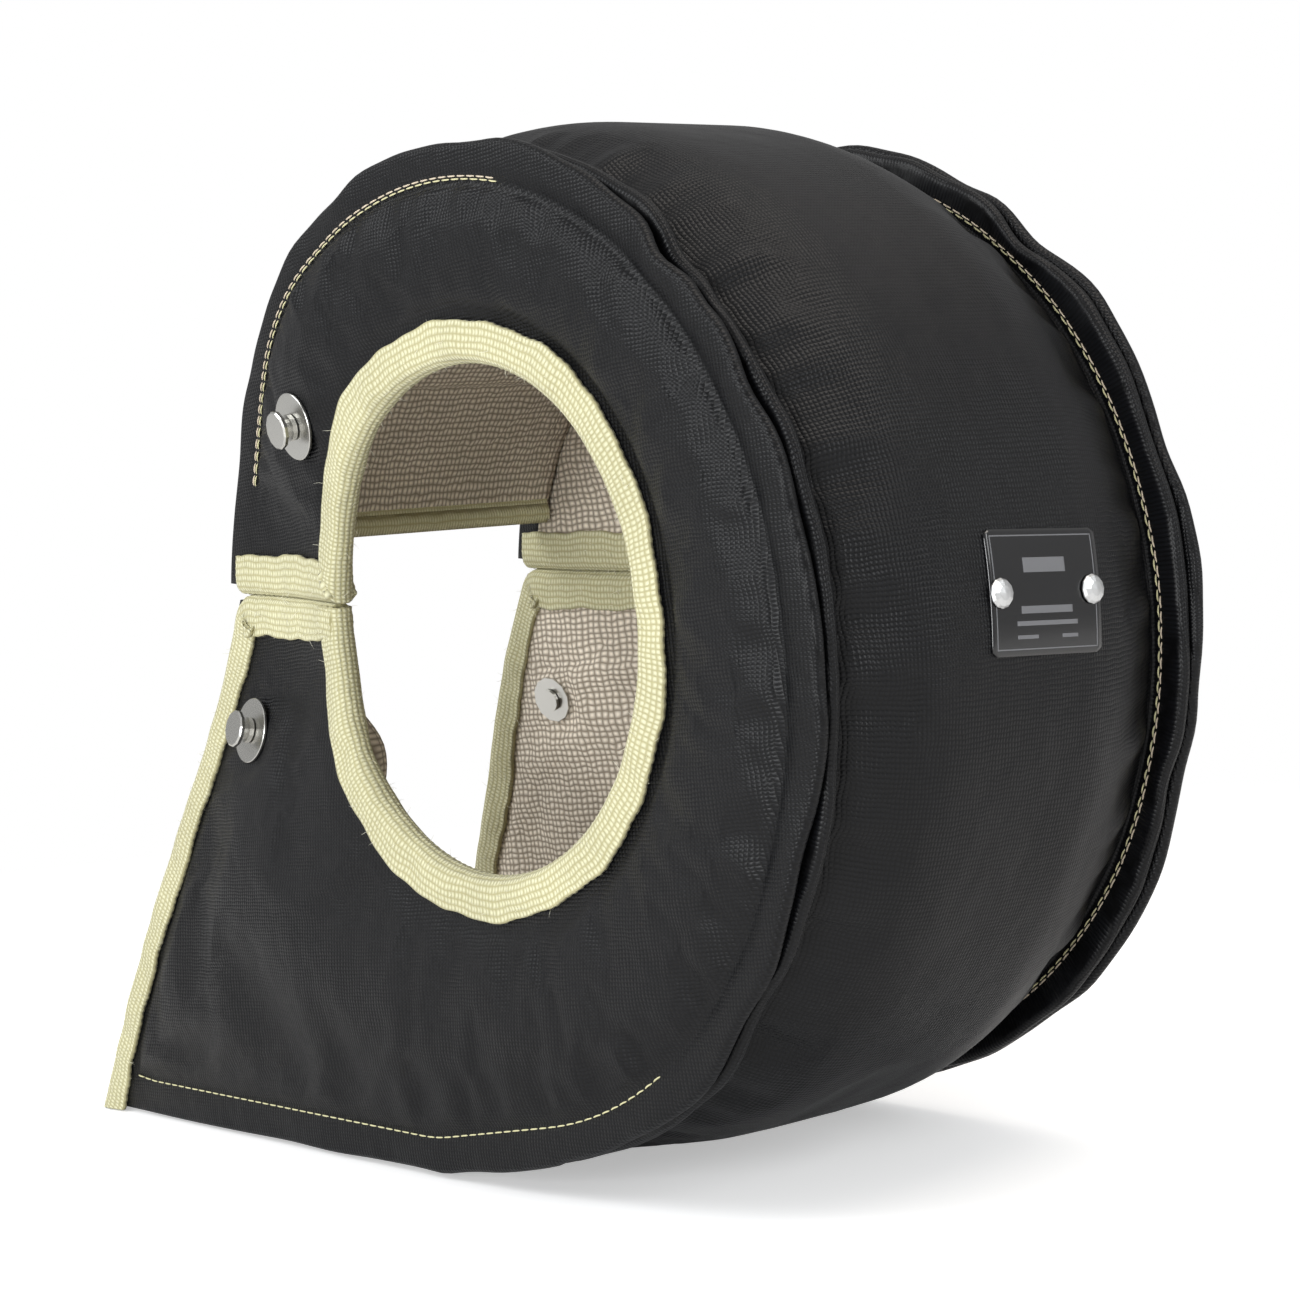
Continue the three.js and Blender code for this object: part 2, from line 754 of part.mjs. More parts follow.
function addPanel(prefix, side, holeRadius) {
  let cover = joined(coverSheet(side, holeRadius), panelHem(side, holeRadius));
  let insulation = panelInsulation(side, holeRadius);
  let lining = panelLining(side, holeRadius);
  const coverMesh = new THREE.Mesh(cover);
  const liningMesh = new THREE.Mesh(lining);
  for (const [height, spot] of Object.entries(postSpots)) {
    const { frame, normal } = seat(coverMesh, spot.x, spot.y, side, washerRadius);
    const depth = depthThrough(frame, normal, liningMesh, clipRadius) + layerGap;
    const bore = drill(postShank + holeClearance, -depth - 2 * postTail, postTail, frame);
    cover = cut(cover, bore);
    insulation = cut(insulation, bore);
    lining = cut(lining, bore);
    const name = `${prefix}_${height}`;
    const inner = postShank + layerGap;
    add(`${name}_post`, turned(postProfile(depth)), 'steel', frame);
    add(`${name}_washer`, ring(inner, washerRadius, 0, washerThickness), 'steel', frame);
    add(`${name}_clip`, ring(inner, clipRadius, -depth - washerThickness, -depth), 'steel', frame);
    blanket.add(frame);
  }
  add(`${prefix}_cover`, cover, 'coatedCloth');
  add(`${prefix}_insulation`, insulation, 'insulation');
  add(`${prefix}_lining`, lining, 'liningCloth');
  const upperSlit = slitTape(side, holeRadius, 'upper');
  const lowerSlit = slitTape(side, holeRadius, 'lower');
  add(`${prefix}_hole_binding`, joined(holeTape(side, holeRadius), upperSlit), 'tape');
  add(`${prefix}_leg_binding`, joined(legTape(side), lowerSlit), 'tape');
}

// The plate and its rivets share a frame whose X runs to the back, Y up the wall and Z outward
function crownRadius(y) {
  return rimRadius - crownInset({ puff: 1, gather: 1 }, y / flangeFace);
}

const plateFrame = new THREE.Group();
plateFrame.position.set(
  crownRadius(plateDepth) * Math.cos(plateAngle),
  plateDepth,
  crownRadius(plateDepth) * Math.sin(plateAngle),
);
plateFrame.quaternion.setFromRotationMatrix(new THREE.Matrix4().makeBasis(
  new THREE.Vector3(0, 1, 0),
  new THREE.Vector3(-Math.sin(plateAngle), 0, Math.cos(plateAngle)),
  new THREE.Vector3(Math.cos(plateAngle), 0, Math.sin(plateAngle)),
));
plateFrame.rotateZ(plateTilt);

function wallHeight(x, y) {
  const back = x * Math.cos(plateTilt) - y * Math.sin(plateTilt);
  const up = x * Math.sin(plateTilt) + y * Math.cos(plateTilt);
  const radius = crownRadius(plateDepth + back);
  return Math.sqrt(radius * radius - up * up) - crownRadius(plateDepth);
}

const plateLift = 2 * layerGap;
const crownSag = 0.6;
const facetSag = rimRadius * (1 - Math.cos((roundEnd - roundStart) / roundSteps / 2));

function plateGeometry() {
  const steps = 4;
  const slab = new THREE.BoxGeometry(plateWidth, plateHeight, plateThickness, steps, steps, 1);
  const points = slab.attributes.position;
  for (let i = 0; i < points.count; i += 1) {
    const lift = wallHeight(points.getX(i), points.getY(i)) + plateLift + plateThickness / 2;
    points.setZ(i, points.getZ(i) + lift);
  }
  const [w, h, r] = [plateWidth / 2, plateHeight / 2, plateCorner];
  const outline = new THREE.Shape();
  outline.absarc(w - r, h - r, r, 0, Math.PI / 2);
  outline.absarc(r - w, h - r, r, Math.PI / 2, Math.PI);
  outline.absarc(r - w, r - h, r, Math.PI, 1.5 * Math.PI);
  outline.absarc(w - r, r - h, r, 1.5 * Math.PI, 2 * Math.PI);
  const depth = 4 * postTail;
  const prism = new THREE.ExtrudeGeometry(outline, { depth, bevelEnabled: false, curveSegments: 4 });
  prism.translate(0, 0, -depth / 2);
  return geometryOf(solid(slab).intersect(solid(prism)));
}

function rivetProfile() {
  const under = plateLift + plateThickness + layerGap;
  const domeSteps = 3;
  const dome = Array.from({ length: domeSteps + 1 }, (_, i) => {
    const angle = (i / domeSteps) * (Math.PI / 2);
    return [rivetHead * Math.sin(angle), under + rivetRim + (rivetHeadHeight - rivetRim) * Math.cos(angle)];
  });
  const tail = backingTop - washerThickness - layerGap;
  return [
    ...dome,
    [rivetHead, under],
    [rivetShank, under],
    [rivetShank, tail],
    [rivetTail, tail],
    [rivetTail, tail - clothThickness],
    [0, tail - clothThickness],
  ];
}

const backingTop = -clothThickness - facetSag - crownSag - 2 * layerGap;

function addWall() {
  let cover = wallCover();
  let insulation = wallInsulation();
  let plate = plateGeometry();
  for (const [name, side] of [['front', -1], ['back', 1]]) {
    const spot = new THREE.Group();
    const across = (side * rivetSpacing) / 2;
    spot.position.set(across, 0, wallHeight(across, 0));
    const slopeX = wallHeight(across + 1, 0) - wallHeight(across - 1, 0);
    const slopeY = wallHeight(across, 1) - wallHeight(across, -1);
    const normal = new THREE.Vector3(-slopeX / 2, -slopeY / 2, 1).normalize();
    spot.quaternion.setFromUnitVectors(new THREE.Vector3(0, 0, 1), normal);
    plateFrame.add(spot);
    plateFrame.updateMatrix();
    spot.updateMatrix();
    const world = new THREE.Group();
    world.applyMatrix4(plateFrame.matrix.clone().multiply(spot.matrix));
    const pocketTop = backingTop + 2 * clothThickness;
    const pocketBottom = backingTop - washerThickness - 2 * clothThickness;
    cover = cut(cover, drill(rivetShank + holeClearance, pocketBottom, postTail, world));
    insulation = cut(insulation, drill(backingRadius + holeClearance, pocketBottom, pocketTop, world));
    plate = cut(plate, drill(rivetShank + holeClearance, -postTail, postTail, spot));
    add(`plate_${name}_rivet`, turned(rivetProfile()), 'steel', spot);
    const washer = ring(rivetShank + layerGap, backingRadius, backingTop - washerThickness, backingTop);
    add(`plate_${name}_backing`, washer, 'steel', spot);
  }
  add('name_plate', plate, 'plate', plateFrame);
  add('wall_cover', cover, 'coatedCloth');
  add('wall_insulation', insulation, 'insulation');
  add('wall_lining', wallLining(), 'liningCloth');
  add('wall_upper_binding', wallEndTape('upper'), 'tape');
  add('wall_lower_binding', wallEndTape('lower'), 'tape');
  blanket.add(plateFrame);
}

addPanel('front', -1, frontHoleRadius);
addPanel('back', 1, backHoleRadius);
addWall();

// The finished part stands with the middle of its base at the origin
const bounds = new THREE.Box3().setFromObject(blanket, true);
const middle = bounds.getCenter(new THREE.Vector3());
blanket.position.set(-middle.x, -middle.y, -bounds.min.z);

const part = new THREE.Group();
part.add(blanket);

export default part;
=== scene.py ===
"""The looks of a turbo heat blanket: a padded drum of black coated cloth, bound with pale woven tape.

Lengths are written in millimetres, as a maker would cut them, and turned into metres once, in build().
The pattern is drawn round the middle of the two round rims, then moved by PLACE to where the solids stand.
X runs to the right along the front panel, Y from front to back and Z up. "Level" is the height above the
middle of a sewn rim, positive on the outside of a panel. An "inset" is the depth below the rim's edge.
"""

import math

import bpy
import numpy as np
from mathutils import Matrix, Vector


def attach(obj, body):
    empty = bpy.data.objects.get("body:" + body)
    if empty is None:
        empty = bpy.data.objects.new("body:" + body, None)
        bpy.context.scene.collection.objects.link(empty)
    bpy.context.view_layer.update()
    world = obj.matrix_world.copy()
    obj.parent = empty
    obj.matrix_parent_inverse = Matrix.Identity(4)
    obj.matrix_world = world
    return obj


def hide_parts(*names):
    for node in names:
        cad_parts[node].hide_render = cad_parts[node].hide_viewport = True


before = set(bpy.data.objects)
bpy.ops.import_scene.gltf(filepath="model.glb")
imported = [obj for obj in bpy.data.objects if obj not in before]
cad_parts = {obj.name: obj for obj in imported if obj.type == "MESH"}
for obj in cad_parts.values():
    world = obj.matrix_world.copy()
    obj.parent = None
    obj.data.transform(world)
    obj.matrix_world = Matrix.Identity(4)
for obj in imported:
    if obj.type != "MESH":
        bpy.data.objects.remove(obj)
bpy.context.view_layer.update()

METRE = 0.001
PLACE = np.array([31.51, -0.13, 126.3])
noise_draw = np.random.default_rng(7)

# The pattern's sizes, the same as the solids have
RIM_RADIUS = 120.0
RIM_SPACING = 114.8
BASE_DROP = 6.3
BASE_SLOPE = math.radians(10)
TIP_REACH = 187.0
LEG_TOP_REACH = 113.5
HOLE_CENTRE = np.array([3.6, 8.3])
SLIT_ANGLE = math.radians(176)
HOLE_RADIUS = {"front": 59.5, "back": 48.0}
CLOTH = 1.0
GAP = 0.3
RIM_SEAM = 11.0
HEM_SPACING = 0.5
EDGE_PADDING = 0.8
WALL_PADDING = 15.0
FULL_CROWN = 2.8
CROWN_FLAT = 0.3
CROWN_POWER = 2.6
BACK_CROWN_POWER = 1.7
PINCHED_CROWN = 1.5
TAPE = 1.3
TAPE_COVER = 10.4
TAPE_MARGIN = 1.0
SLIT_GAP = 1.0
SLIT_MEET = -0.5
LEAN = 11.0
LEAN_START, LEAN_FULL = 35.0, 105.0
LEAN_ABOVE = (12.0, 58.0)
LEAN_BELOW = (6.0, 38.0)

RIM_PLANE = RIM_SPACING / 2
BASE_LEVEL = -(RIM_RADIUS + BASE_DROP)
HEM = 3 * CLOTH + 2 * GAP
PANEL_TOP = HEM_SPACING / 2 + HEM
FLANGE_FACE = RIM_PLANE - PANEL_TOP
TAPE_REACH = TAPE + GAP
SLIT_SHIFT = SLIT_GAP / 2 + TAPE_REACH
FLAT_ZONE = TAPE_COVER + TAPE_MARGIN
TAPE_TOP = PANEL_TOP + TAPE_REACH
TAPE_BOTTOM = -EDGE_PADDING - TAPE_REACH
SIDES = {"front": -1.0, "back": 1.0}

SLOPE_IN = np.array([-math.sin(BASE_SLOPE), math.cos(BASE_SLOPE)])
SLOPE_POINT = -RIM_RADIUS * SLOPE_IN
BASE_IN = np.array([0.0, 1.0])
BASE_POINT = np.array([0.0, BASE_LEVEL])
BASE_START = SLOPE_POINT[0] - (SLOPE_POINT[1] - BASE_LEVEL) / math.tan(BASE_SLOPE)
SLIT_WAY = np.array([math.cos(SLIT_ANGLE), math.sin(SLIT_ANGLE)])
SLIT_RISE = (HOLE_CENTRE[0] + LEG_TOP_REACH) * math.tan(math.pi - SLIT_ANGLE)
LEG_TOP = np.array([-LEG_TOP_REACH, HOLE_CENTRE[1] + SLIT_RISE])
TIP = np.array([-TIP_REACH, BASE_LEVEL])
LEG_ALONG = (LEG_TOP - TIP) / np.linalg.norm(LEG_TOP - TIP)
LEG_IN = np.array([LEG_ALONG[1], -LEG_ALONG[0]])


def smooth(value, low, high):
    """0 below low, 1 above high and an even ease between them."""
    share = np.clip((np.asarray(value, float) - low) / (high - low), 0, 1)
    return share * share * (3 - 2 * share)


def waves(along, seed, lengths, heights):
    """A soft uneven wave, made of sines whose starts depend on the seed."""
    starts = np.random.default_rng(seed).uniform(0, 2 * math.pi, len(lengths))
    return sum(h * np.sin(2 * math.pi * along / n + s) for n, h, s in zip(lengths, heights, starts))


# Stations: straight rays across a panel, from near the hole's centre out to the edge
class Stations:
    """A row of rays. turn is the angle from the slit, and leg marks those that end on the leg."""

    def __init__(self, direction, shift, turn, is_round, leg):
        self.direction = direction
        self.shift = shift
        self.turn = turn
        self.is_round = is_round
        self.leg = leg
        across = np.stack([direction[:, 1], -direction[:, 0]], -1)
        self.start = HOLE_CENTRE + across * shift[:, None]
        self.gather = smooth(turn, ROUND_START, ROUND_START + GATHER_FADE) * is_round
        self.gather = self.gather * smooth(ROUND_END - turn, 0, GATHER_FADE)

    def point(self, distance):
        return self.start[:, None, :] + self.direction[:, None, :] * distance[:, :, None]

    def to_line(self, point, inward, inset):
        closing = -(self.direction @ inward)
        height = (self.start - point) @ inward - inset
        return np.where(closing > 0.01, height / np.maximum(closing, 0.01), np.inf)

    def to_rim(self, inset):
        along = (self.start * self.direction).sum(-1)
        radius = RIM_RADIUS - inset
        circle = -along + np.sqrt(along**2 - (self.start**2).sum(-1) + radius**2)
        slope = self.to_line(SLOPE_POINT, SLOPE_IN, inset)
        low = np.minimum(slope, self.to_line(BASE_POINT, BASE_IN, inset))
        return np.where(self.is_round, circle, low)

    def to_outline(self, inset, leg_inset):
        rim = self.to_rim(inset)
        return np.where(self.is_round, rim, np.minimum(rim, self.to_line(TIP, LEG_IN, leg_inset)))

    def to_hole(self, radius):
        return np.sqrt(radius**2 - self.shift**2)


BESIDE_SLIT = SLIT_SHIFT + FLAT_ZONE
ROUND_START = math.radians(12.5)
SHIFT_FADE = math.radians(35)
GATHER_FADE = math.radians(22)
junction = SLOPE_POINT - HOLE_CENTRE
ROUND_END = SLIT_ANGLE - math.atan2(junction[1], junction[0])
FULL_TURN = 2 * math.pi


def stations(slit_steps, steps):
    """Rays from the slit's upper edge, clockwise round the hole, to the slit's lower edge."""
    beside = np.linspace(SLIT_SHIFT, BESIDE_SLIT, slit_steps)
    turn = np.linspace(ROUND_START, FULL_TURN - ROUND_START, steps)
    from_slit = np.minimum(turn, FULL_TURN - turn)
    shift = BESIDE_SLIT * np.maximum(0, 1 - from_slit / SHIFT_FADE) ** 1.5 * np.where(turn < math.pi, 1, -1)
    # Between the rays beside the slit and the first turned ray, the turn eases in
    near = np.linspace(0, 1, 8)[1:-1]
    near_turn = ROUND_START * near
    near_shift = BESIDE_SLIT + (shift[0] - BESIDE_SLIT) * near
    last = np.full(slit_steps, FULL_TURN)
    turns = [np.zeros(slit_steps), near_turn, turn, FULL_TURN - near_turn[::-1], last]
    shifts = [beside, near_shift, shift, -near_shift[::-1], -beside[::-1]]
    turn, shift = np.concatenate(turns), np.concatenate(shifts)
    angle = SLIT_ANGLE - turn
    direction = np.stack([np.cos(angle), np.sin(angle)], -1)
    is_round = turn <= ROUND_END
    row = Stations(direction, shift, turn, is_round, turn > ROUND_END)
    row.leg = ~is_round & (row.to_line(TIP, LEG_IN, 0) < row.to_rim(0))
    return row


def lean_at(point):
    """The share of the lean-in that a point of a panel has, most beside the slit."""
    offset = point - HOLE_CENTRE
    reach = np.hypot(offset[..., 0], offset[..., 1])
    angle = np.degrees(np.arctan2(offset[..., 1], offset[..., 0]))
    above = np.where(angle > 0, 180 - angle, 0)
    below = np.where(angle > 0, 0, 180 + angle)
    fade = (1 - smooth(above, *LEAN_ABOVE)) * (1 - smooth(below, *LEAN_BELOW))
    return fade * smooth(reach, LEAN_START, LEAN_FULL)


def stand(point, y):
    """Points of the flat pattern, with their depth, as they sit in the finished blanket."""
    y = y * (1 - LEAN / RIM_PLANE * lean_at(point))
    return np.stack([point[..., 0], y, point[..., 1]], -1)


# Ruffles of the two sewn rims
# Each kink is (turn from the slit in degrees, width, push outward from the panel, pull towards the middle)
KINKS = {
    "front": [
        (40, 14, 0.3, 2.2), (64, 5, 0.9, 1.3), (131, 4, 2.2, 2.6), (139, 3, -0.3, 1.2),
        (151, 4, 0.8, 1.4), (206, 6, 0.6, 1.0), (222, 5, 0.9, 1.4),
    ],
    "back": [
        (60, 6, 0.6, 1.0), (112, 5, 0.8, 1.8), (128, 5, 0.7, 2.2), (158, 6, 0.6, 1.2), (200, 5, 0.8, 2.2),
    ],
}


def rim_push(row, panel, which):
    """How far the hem's edge stands away from its neighbour hem, and how far it is pulled in."""
    turn = np.degrees(row.turn)
    seed = {"front": 11, "back": 23}[panel] + {"panel": 0, "wall": 5}[which]
    away = 0.15 + waves(turn, seed, (37, 23, 13.7, 8.3), (0.14, 0.1, 0.08, 0.05))
    pull = 1.1 + waves(turn, seed + 1, (41, 27, 15.1, 9.1), (0.5, 0.35, 0.2, 0.1))
    for at, width, push, inward in KINKS[panel]:
        share = np.exp(-(((turn - at) / width) ** 2))
        away = away + share * push * (1.0 if which == "panel" else 0.35)
        pull = pull + share * inward
    return np.maximum(away, 0), np.maximum(pull, 0)


def rim_sway(row, panel):
    """How far the two hems of a rim sway together, towards the outside of the panel."""
    turn = np.degrees(row.turn)
    seed = {"front": 31, "back": 43}[panel]
    return waves(turn, seed, (61, 34, 19), (0.5, 0.4, 0.25)) * row.gather


# Meshes
def build(name, points, faces, uv=None, shade_smooth=True):
    """A mesh from millimetre points round the rims' middle, and a uv place for each point, in metres."""
    mesh = bpy.data.meshes.new(name)
    corners = faces.tolist() if hasattr(faces, "tolist") else faces
    mesh.from_pydata(((points + PLACE) * METRE).tolist(), [], corners)
    if uv is not None:
        layer = mesh.uv_layers.new(name="cloth")
        corner = np.zeros(len(mesh.loops), np.int32)
        mesh.loops.foreach_get("vertex_index", corner)
        layer.data.foreach_set("uv", (uv[corner] * METRE).astype(np.float32).ravel())
    mesh.polygons.foreach_set("use_smooth", [shade_smooth] * len(mesh.polygons))
    mesh.validate()
    piece = bpy.data.objects.new(name, mesh)
    bpy.context.scene.collection.objects.link(piece)
    return piece


def grid_faces(rows, columns, closed=False):
    """Four-sided faces over a grid of points. A closed grid joins its last column to its first."""
    i, j = np.meshgrid(np.arange(rows - 1), np.arange(columns if closed else columns - 1), indexing="ij")
    k = (j + 1) % columns
    corners = [i * columns + j, i * columns + k, (i + 1) * columns + k, (i + 1) * columns + j]
    return np.stack(corners, -1).reshape(-1, 4)


def sheet_of(name, spots, uv=None):
    """An open sheet over a grid of points."""
    rows, columns = spots.shape[:2]
    flat_uv = None if uv is None else uv.reshape(-1, 2)
    return build(name, spots.reshape(-1, 3), grid_faces(rows, columns), flat_uv)


def face_outward(piece, away_from):
    """Turns the faces so that they look away from a point."""
    mesh = piece.data
    centre = Vector(((np.array(away_from) + PLACE) * METRE).tolist())
    score = sum(p.normal.dot(p.center - centre) * p.area for p in mesh.polygons)
    if score < 0:
        mesh.flip_normals()
    return piece


def thicken(piece, thickness, offset=-1.0):
    """Gives an open sheet its real thickness, below its outer face."""
    solid = piece.modifiers.new("thickness", "SOLIDIFY")
    solid.thickness = thickness * METRE
    solid.offset = offset
    solid.use_even_offset = False
    apply_modifiers(piece)


def apply_modifiers(piece):
    """Makes a piece's mesh what its modifiers show."""
    graph = bpy.context.evaluated_depsgraph_get()
    mesh = bpy.data.meshes.new_from_object(piece.evaluated_get(graph))
    old = piece.data
    piece.modifiers.clear()
    piece.data = mesh
    bpy.data.meshes.remove(old)


def finish_piece(piece, material, slot, *nodes, fill=None):
    """Gives a piece its finish and its body, and hides the solids that it stands for."""
    rest_on_floor(piece)
    piece.data.materials.clear()
    piece.data.materials.append(material)
    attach(piece, "root")
    if nodes:
        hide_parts(*nodes)
    return piece


# Cloth that swells: the padding's pressure against the sewn edges
def swell(piece, held, frames=16, pressure=3.0, growth=0.008, cap=4.0):
    """Lets a sheet find its own folds between its seams. held is 1 where it can't move."""
    rest = np.array([v.co for v in piece.data.vertices])
    group = piece.vertex_groups.new(name="sewn")
    for weight in np.unique(np.round(held, 2)):
        if weight > 0:
            group.add(np.nonzero(np.round(held, 2) == weight)[0].tolist(), float(weight), "REPLACE")
    cloth = piece.modifiers.new("swell", "CLOTH")
    settings = cloth.settings
    settings.quality = 5
    settings.mass = 0.4
    settings.air_damping = 4
    settings.tension_stiffness = 25
    settings.compression_stiffness = 25
    settings.shear_stiffness = 8
    settings.bending_stiffness = 1.2
    settings.vertex_group_mass = "sewn"
    settings.pin_stiffness = 4
    settings.use_pressure = True
    settings.uniform_pressure_force = pressure
    settings.shrink_min = -growth
    settings.effector_weights.gravity = 0
    cloth.collision_settings.use_collision = False
    cloth.collision_settings.use_self_collision = False
    cloth.point_cache.frame_start = 1
    cloth.point_cache.frame_end = frames
    scene = bpy.context.scene
    for step in range(1, frames + 1):
        scene.frame_set(step)
    graph = bpy.context.evaluated_depsgraph_get()
    settled = np.array([v.co for v in piece.evaluated_get(graph).data.vertices])
    move = settled - rest
    size = np.linalg.norm(move, axis=1, keepdims=True)
    limit = cap * METRE
    move = move * np.where(size > 0, limit * np.tanh(size / limit) / np.maximum(size, 1e-12), 0)
    piece.modifiers.clear()
    piece.vertex_groups.clear()
    piece.data.vertices.foreach_set("co", (rest + move).astype(np.float32).ravel())
    piece.data.update()
    scene.frame_set(1)


# Panels: cover, lining and mat
PANEL_PUFF = 3.6
SEAM_GROOVE = 0.5
FLANGE_SWELL = 0.25
LINING_PUFF = 4.4
LINING_SAG = 17
MAT_PUFF = 2.2
# The cloths were cut a few degrees off the vertical
COVER_TURN = 4
LINING_TURN = 2


def pillow(share):
    """The rise of a padded field between two sewn edges, from 0 at each edge to 1 in the middle."""
    return np.sin(math.pi * np.clip(share, 0, 1)) ** 0.62


def puff_of(row):
    """How full the padding is along each station: flat beside the slit and thin at the leg's upper end."""
    from_slit = np.degrees(np.minimum(row.turn, FULL_TURN - row.turn))
    full = smooth(from_slit, 1, 20)
    return np.where(row.leg, full * (0.55 + 0.45 * smooth(from_slit, 15, 50)), full)


def panel_marks(row, radius):
    """The distances along each station to the hole, its tape's end, the rim's seam and the rim's edge."""
    hole = row.to_hole(radius + TAPE_REACH)
    seam = row.to_outline(RIM_SEAM, FLAT_ZONE)
    edge = row.to_outline(0, 0)
    return hole, hole + FLAT_ZONE, seam, edge


def hemmed_share(row):
    """1 where the rim is a free hem, 0 on the leg and under the slit's tape."""
    fade = smooth(np.degrees(row.turn), 4, 16)
    return np.where(row.leg, 0.0, np.where(row.is_round, fade, 0.7))


def between(first, last, count, ends=True):
    """Even steps from one distance to another along each station."""
    share = np.linspace(0, 1, count, endpoint=ends)[None, :]
    return first[:, None] + (last - first)[:, None] * share


def turned_uv(point, degrees):
    """The cloth's threads on a flat panel, cut at a small angle."""
    angle = math.radians(degrees)
    x, z = point[..., 0], point[..., 1]
    cos, sin = math.cos(angle), math.sin(angle)
    return np.stack([x * cos + z * sin, z * cos - x * sin], -1)


def panel_cover(panel, material):
    """The black cloth over a panel, from under the hole's tape to the fold of the hem."""
    side = SIDES[panel]
    row = stations(6, 220)
    hole, tape_end, seam, edge = panel_marks(row, HOLE_RADIUS[panel])
    away, pull = rim_push(row, panel, "panel")
    hemmed = hemmed_share(row)
    sway = rim_sway(row, panel)
    bend = HEM / 2
    edge = edge - pull * hemmed
    puff = puff_of(row)[:, None] * PANEL_PUFF
    field = np.linspace(0, 1, 26)[None, :]
    turn = np.degrees(row.turn)[:, None]
    seed = {"front": 51, "back": 57}[panel]
    by_rim = smooth(field, 0.66, 0.86) * (1 - smooth(field, 0.92, 1)) * hemmed[:, None]
    by_hole = smooth(field, 0.02, 0.1) * (1 - smooth(field, 0.14, 0.36)) * smooth(puff, 0.5, 3)
    puckers = by_rim * waves(turn, seed, (11.3, 7.1, 4.9), (0.5, 0.35, 0.22))
    puckers = puckers + by_hole * waves(turn, seed + 1, (23, 13.7, 8.9), (0.35, 0.25, 0.15))
    groove = SEAM_GROOVE * smooth(field, 0.93, 1) * hemmed[:, None]
    field_level = PANEL_TOP + puff * pillow(field) - groove + puckers
    arc = np.linspace(math.pi / 2, -math.pi / 2, 8)[None, :]
    centre = (edge - bend)[:, None]
    distance = np.concatenate([
        between(hole + 0.6, tape_end, 5, ends=False),
        between(tape_end, seam, 26),
        between(seam, edge - bend, 7)[:, 1:-1],
        centre + bend * np.cos(arc),
        between(edge - bend, seam + 0.4, 4)[:, 1:],
    ], axis=1)
    flange = np.linspace(0, 1, 7)[None, 1:-1]
    one = np.ones((len(hole), 1))
    flange_groove = SEAM_GROOVE * (1 - smooth(flange, 0, 0.4)) * hemmed[:, None]
    level = np.concatenate([
        one * np.linspace(PANEL_TOP - 0.2, PANEL_TOP, 5, endpoint=False)[None, :],
        field_level,
        one * (PANEL_TOP + FLANGE_SWELL * np.sin(math.pi * flange)) - flange_groove,
        one * (PANEL_TOP - bend + bend * np.sin(arc)),
        one * np.full((1, 3), PANEL_TOP - HEM),
    ], axis=1)
    out = smooth((distance - seam[:, None]) / (edge - seam)[:, None], -0.3, 1.0)
    level = level + out * (hemmed * away + sway)[:, None]
    point = row.point(distance)
    spots = stand(point, side * (RIM_PLANE + level))
    rows = len(distance)
    piece = sheet_of(f"{panel}_cover_cloth", spots, turned_uv(point, COVER_TURN))
    face_to(piece, side)
    share = (distance - tape_end[:, None]) / (seam - tape_end)[:, None]
    held = 1 - smooth(share, 0.02, 0.2) * (1 - smooth(share, 0.88, 0.99))
    ends = np.minimum(np.arange(rows), np.arange(rows)[::-1])[:, None]
    held = np.maximum(held, 1 - smooth(ends, 3, 12))
    held[:, 31:] = 1
    swell(piece, held.ravel(), pressure=2.4, growth=0.008, cap=2.2)
    for post in ("upper", "lower"):
        seat_under(piece, f"{panel}_{post}_washer", side)
    thicken(piece, CLOTH)
    return finish_piece(piece, material, "coated_cloth", f"{panel}_cover")


def seat_under(piece, disc, outward, reach=9.5, fade=5.0):
    """Presses a cloth down under a flat disc, so that the disc lies on it. outward is -1 or 1, along Y."""
    solid = bpy.data.objects.get(disc)
    spots = np.array([v.co for v in solid.data.vertices]) / METRE
    centre = (spots.min(axis=0) + spots.max(axis=0)) / 2
    _, _, axes = np.linalg.svd(spots - spots.mean(axis=0))
    normal = axes[2] * (1 if axes[2][1] * outward > 0 else -1)
    under = ((spots - centre) @ normal).min() - 0.12
    cloth = np.array([v.co for v in piece.data.vertices]) / METRE
    offset = cloth - centre
    height = offset @ normal
    across = np.linalg.norm(offset - height[:, None] * normal, axis=1)
    share = (1 - smooth(across, reach, reach + fade)) * (np.abs(height) < 12)
    drop = np.maximum(height - under, 0) * share
    moved = (cloth - drop[:, None] * normal) * METRE
    piece.data.vertices.foreach_set("co", moved.astype(np.float32).ravel())
    piece.data.update()


def face_to(piece, side):
    """Turns a panel's sheet so that its largest face looks out of the front or the back."""
    mesh = piece.data
    if sum(p.normal.y * p.area for p in mesh.polygons) * side < 0:
        mesh.flip_normals()


